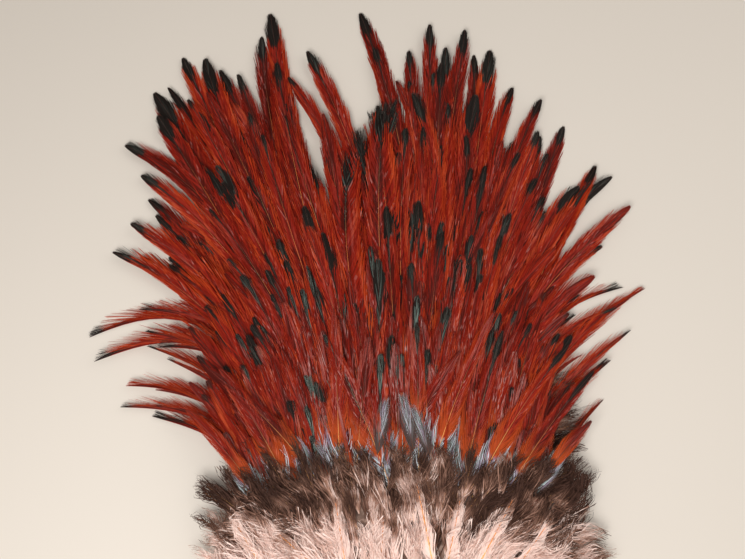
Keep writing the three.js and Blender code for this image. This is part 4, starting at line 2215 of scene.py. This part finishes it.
RIM_LEFT = rim_tips(
    (-102, 34, -73, 0.45, 1, (-80, 27)), (-115, 37, -92, 0.35, 1, (-90, 35)),
    (-113, 45, -88, 0, 1, (-90, 43)), (-127, 56, -108, 0.6, 1, (-99, 64)),
    (-106, 68, -86, 0.35, 1, (-86, 64)), (-130, 66, -109, 0.5, 0, (-98, 75)),
    (-110, 78, -88, 0.4, 1, (-88, 76)), (-95, 89, -63, 0.6, 2), (-122, 103, -70, 0.7, 2),
    (-114, 117, -58, 0.7, 2), (-105, 120, -50, 0.8, 3), (-109, 127, -54, 0.7, 3),
    (-112, 138, -60, 0.8, 3), (-120, 152, -66, 0.9, 2), (-106, 166, -34, 1.3, 3),
    (-109, 178, -36, 1.45, 3), (-97, 195, -27, 0.9, 3), (-87, 194, -20, 1.4, 4),
    (-80, 188, -28, 1.1, 4), (-71, 186, -20, 0.8, 4), (-61, 206, -1, 0.9, 3),
    (-58, 217, -8, 1.3, 3), (-45, 163, -7, 0.8, 1), (-49, 184, -33, 0.5, 0, (-34, 160)),
    (-41, 197, -32, 0.9, 1, (-27, 167)),
)
BEHIND_LEFT = rim_tips(
    (-102, 180, -35, 1.1), (-93, 173, -32, 0.5), (-88, 167, -30, 1.0), (-80, 141, -35, 1.4),
    (-76, 134, -36, 1.4), (-73, 127, -36, 1.4), (-65, 137, -25, 1.1), (-55, 138, -20, 0.9),
    (-107, 146, -55, 0.9), (-50, 165, -18, 0.5), (-48, 150, -12, 1.3), (-59, 156, -14, 0.6),
    (-33, 166, -10, 0), (-29, 152, -8, 1.4), (-23, 160, -10, 0.8),
    (-105, 62, -76, 0.4, 0, (-88, 56)), (-96, 56, -66, 0.3, 0, (-80, 49)),
)
SPLAYED_LEFT = rim_tips((-36, 135, -5, 1.2))
RIM_RIGHT = rim_tips(
    (-17, 218, -16, 1.1, 2, (-6, 184)), (5, 198, -5, 0.7, 3), (15, 211, 0, 1.0, 4),
    (22, 199, 1, 1.1, 4), (30, 208, 8, 1.0, 4), (35, 197, 0, 0.9, 4), (42, 199, 8, 1.5, 4),
    (52, 180, 21, 0.7, 3), (52, 154, 33, 1.0, 3), (64, 173, 29, 0.8, 3), (74, 162, 24, 0.9, 3),
    (86, 143, 30, 0.8, 3), (94, 137, 58, 1.9, 2), (87, 106, 52, 0.6, 2, (68, 92)),
    (100, 123, 42, 0, 1, (79, 105)), (96, 88, 73, 0.5, 1, (71, 79)),
    (105, 87, 50, 0.15, 1, (79, 70)), (92, 78, 72, 0.35, 1, (71, 69)),
    (97, 69, 52, 0.3, 1, (72, 49)), (86, 57, 45, 0.4, 1, (73, 45)), (84, 41, 42, 0.2, 0, (72, 27)),
)
BEHIND_RIGHT = rim_tips(
    (-9, 170, -5, 1.0), (-1, 183, -25, 0.2), (6, 176, -22, 1.2), (11, 162, -10, 1.2),
    (62, 158, 22, 0.7), (53, 148, 26, 0.8), (63, 127, 30, 0.7), (80, 132, 48, 1.3),
    (74, 76, 60, 0.5), (76, 58, 66, 0), (19, 191, 2, 1.0), (62, 157, 14, 0.9), (66, 148, 22, 0.6),
)
SPLAYED_RIGHT = rim_tips(
    (-18, 158, -12, 1.3), (-20, 148, 10, 1.4), (0, 173, 22, 1.9), (-11, 167, -10, 1.3),
    (-5, 171, 8, 1.6),
)
QUILLS = (
    (-56, -21, -34), (-36, -23, -50), (-21.5, -23, -10), (-8, -26, 4),
    (9.6, -14, -11), (17.6, -23, 13), (32, -20, 30), (45, -24, 38),
)
FRONT_VANES = tuple(
    FrontVane(*values)
    for values in (
        (-56, 2, -32, 44), (-45, 7, -24, 52), (-37, 12, -34, 56), (-24, 16, -2, 60),
        (-17, 14, 4, 50), (-7, 12, -18, 58), (-1, 13, 22, 52), (7, 24, 0, 46), (15, 19, 17, 60),
        (25, 9, 12, 60), (34, 12, 26, 60), (44, 6, 28, 56), (56, 8, 34, 30), (-32, 19, -30, 3, 20),
        (-42, 13, -22, 3, 18), (-12, 24, -18, 3, 22), (-4, 23, 10, 3, 22), (1, 38, -10, 3, 21),
        (-6, 36, 8, 3, 20), (5, 33, -18, 3, 19), (7, 22, 16, 3, 20), (20, 23, 8, 3, 22),
        (38, 14, 32, 3, 18), (47, 11, 18, 3, 18), (-22, 19, -2, 3, 20), (13, 23, -8, 3, 22),
        (29, 16, 4, 3, 18), (-50, 8, -42, 3, 18),
    )
)


def build_rows(pile: Pile, shape: FeatherShape, tree: BarbTree) -> None:
    """Build the five bands of shorter feathers.

    Args:
        pile: Pile that they lie in.
        shape: Outline of their vanes.
        tree: Tree that grows their barbs.
    """
    # Painted highlight and sheen grow from the upper rows to the lower ones, as the front is lit
    # more.
    upper = LookRange(spot_share=0.8, spot=(0.5, 1.35), stripe=(0.3, 0.8))
    middle = replace(upper, painted_sheen=0.75)
    lower = LookRange(
        spot_share=0.28, spot=(0.45, 1.0), stripe=(0.3, 0.9), painted_sheen=1.6, shimmer=0.6
    )
    # Root line's y, half span and sag, length and its shortening at the sides, headings of the
    # outermost feathers left and right at their roots and at their tips, number, and looks.
    rows = (
        (-3, 16, 3, 150, 0.25, (-18, 16), (-52, 46), 50, upper),
        (-12, 38, 6, 132, 0.42, (-26, 12), (-52, 30), 76, upper),
        (-20, 45, 5, 116, 0.45, (-18, 8), (-36, 24), 80, middle),
        (-27, 45, 3, 102, 0.5, (-17, 6), (-39, 20), 76, lower),
        (-33, 44, 1, 88, 0.45, (-14, 6), (-33, 20), 64, lower),
    )
    for number, sizes in enumerate(rows, 1):
        FeatherRow(number, pile, shape, tree, *sizes).build()


def build_feathers(pile: Pile, quill: Material) -> None:
    """Build the feathers of the rim, of the bands and of the front.

    Args:
        pile: Pile that they lie in.
        quill: Material of the quills.
    """
    vane = VaneFinish().material()
    shape = FeatherShape()
    tree = BarbTree("vane_barbs", vane, quill, web=0.6)
    left = (RIM_LEFT, BEHIND_LEFT, SPLAYED_LEFT, 1)
    right = (RIM_RIGHT, BEHIND_RIGHT, SPLAYED_RIGHT, 1 + len(RIM_LEFT))
    RimFeathers(Side.LEFT, pile, shape, tree, *left).build()
    RimFeathers(Side.RIGHT, pile, shape, tree, *right).build()
    build_rows(pile, shape, tree)
    front_tree = BarbTree("front_barbs", vane, quill, segments=3, width=0.05, web=0.5)
    front_tree.inputs.update({"Barb Pitch": 0.4 * MM, "Yaw": 0.04})
    FrontFeathers(pile, front_tree, FRONT_VANES).build()


def build_down(pile: Pile, quill: Material) -> None:
    """Build the down.

    Args:
        pile: Pile that it lies on.
        quill: Material of the quills.
    """
    tree = BarbTree(
        "down_barbs",
        DownFinish().material(),
        quill,
        segments=4,
        curve_power=1.2,
        width=0.08,
        camber=0.0,
        closing=0.92,
        ripple=0.06,
    )
    tree.inputs.update(
        {
            "Barb Pitch": 0.5 * MM,
            "Roll": 1.1,
            "Lift": 0.1,
            "Yaw": 0.15,
            "Sway": 3.0 * MM,
            "Sway Size": 12.0 * MM,
            "Shortest": 0.6,
            "Longest": 1.3,
        }
    )
    DownMound(pile, tree, DownBedFinish().material()).build()


def main() -> None:
    """Build every piece and report it."""
    logging.basicConfig(level=logging.INFO, format="%(message)s")
    Studio().build()
    skin_node = bpy.data.objects["saddle_skin"]
    skin_node.data.materials.clear()
    skin_node.data.materials.append(SkinFinish().material())
    log.info("saddle_skin: kept, with its own finish")
    pile = Pile(SkinPatch.from_frame())
    quill = QuillFinish().material()
    build_feathers(pile, quill)
    build_down(pile, quill)

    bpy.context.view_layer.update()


if __name__ == "__main__":
    main()
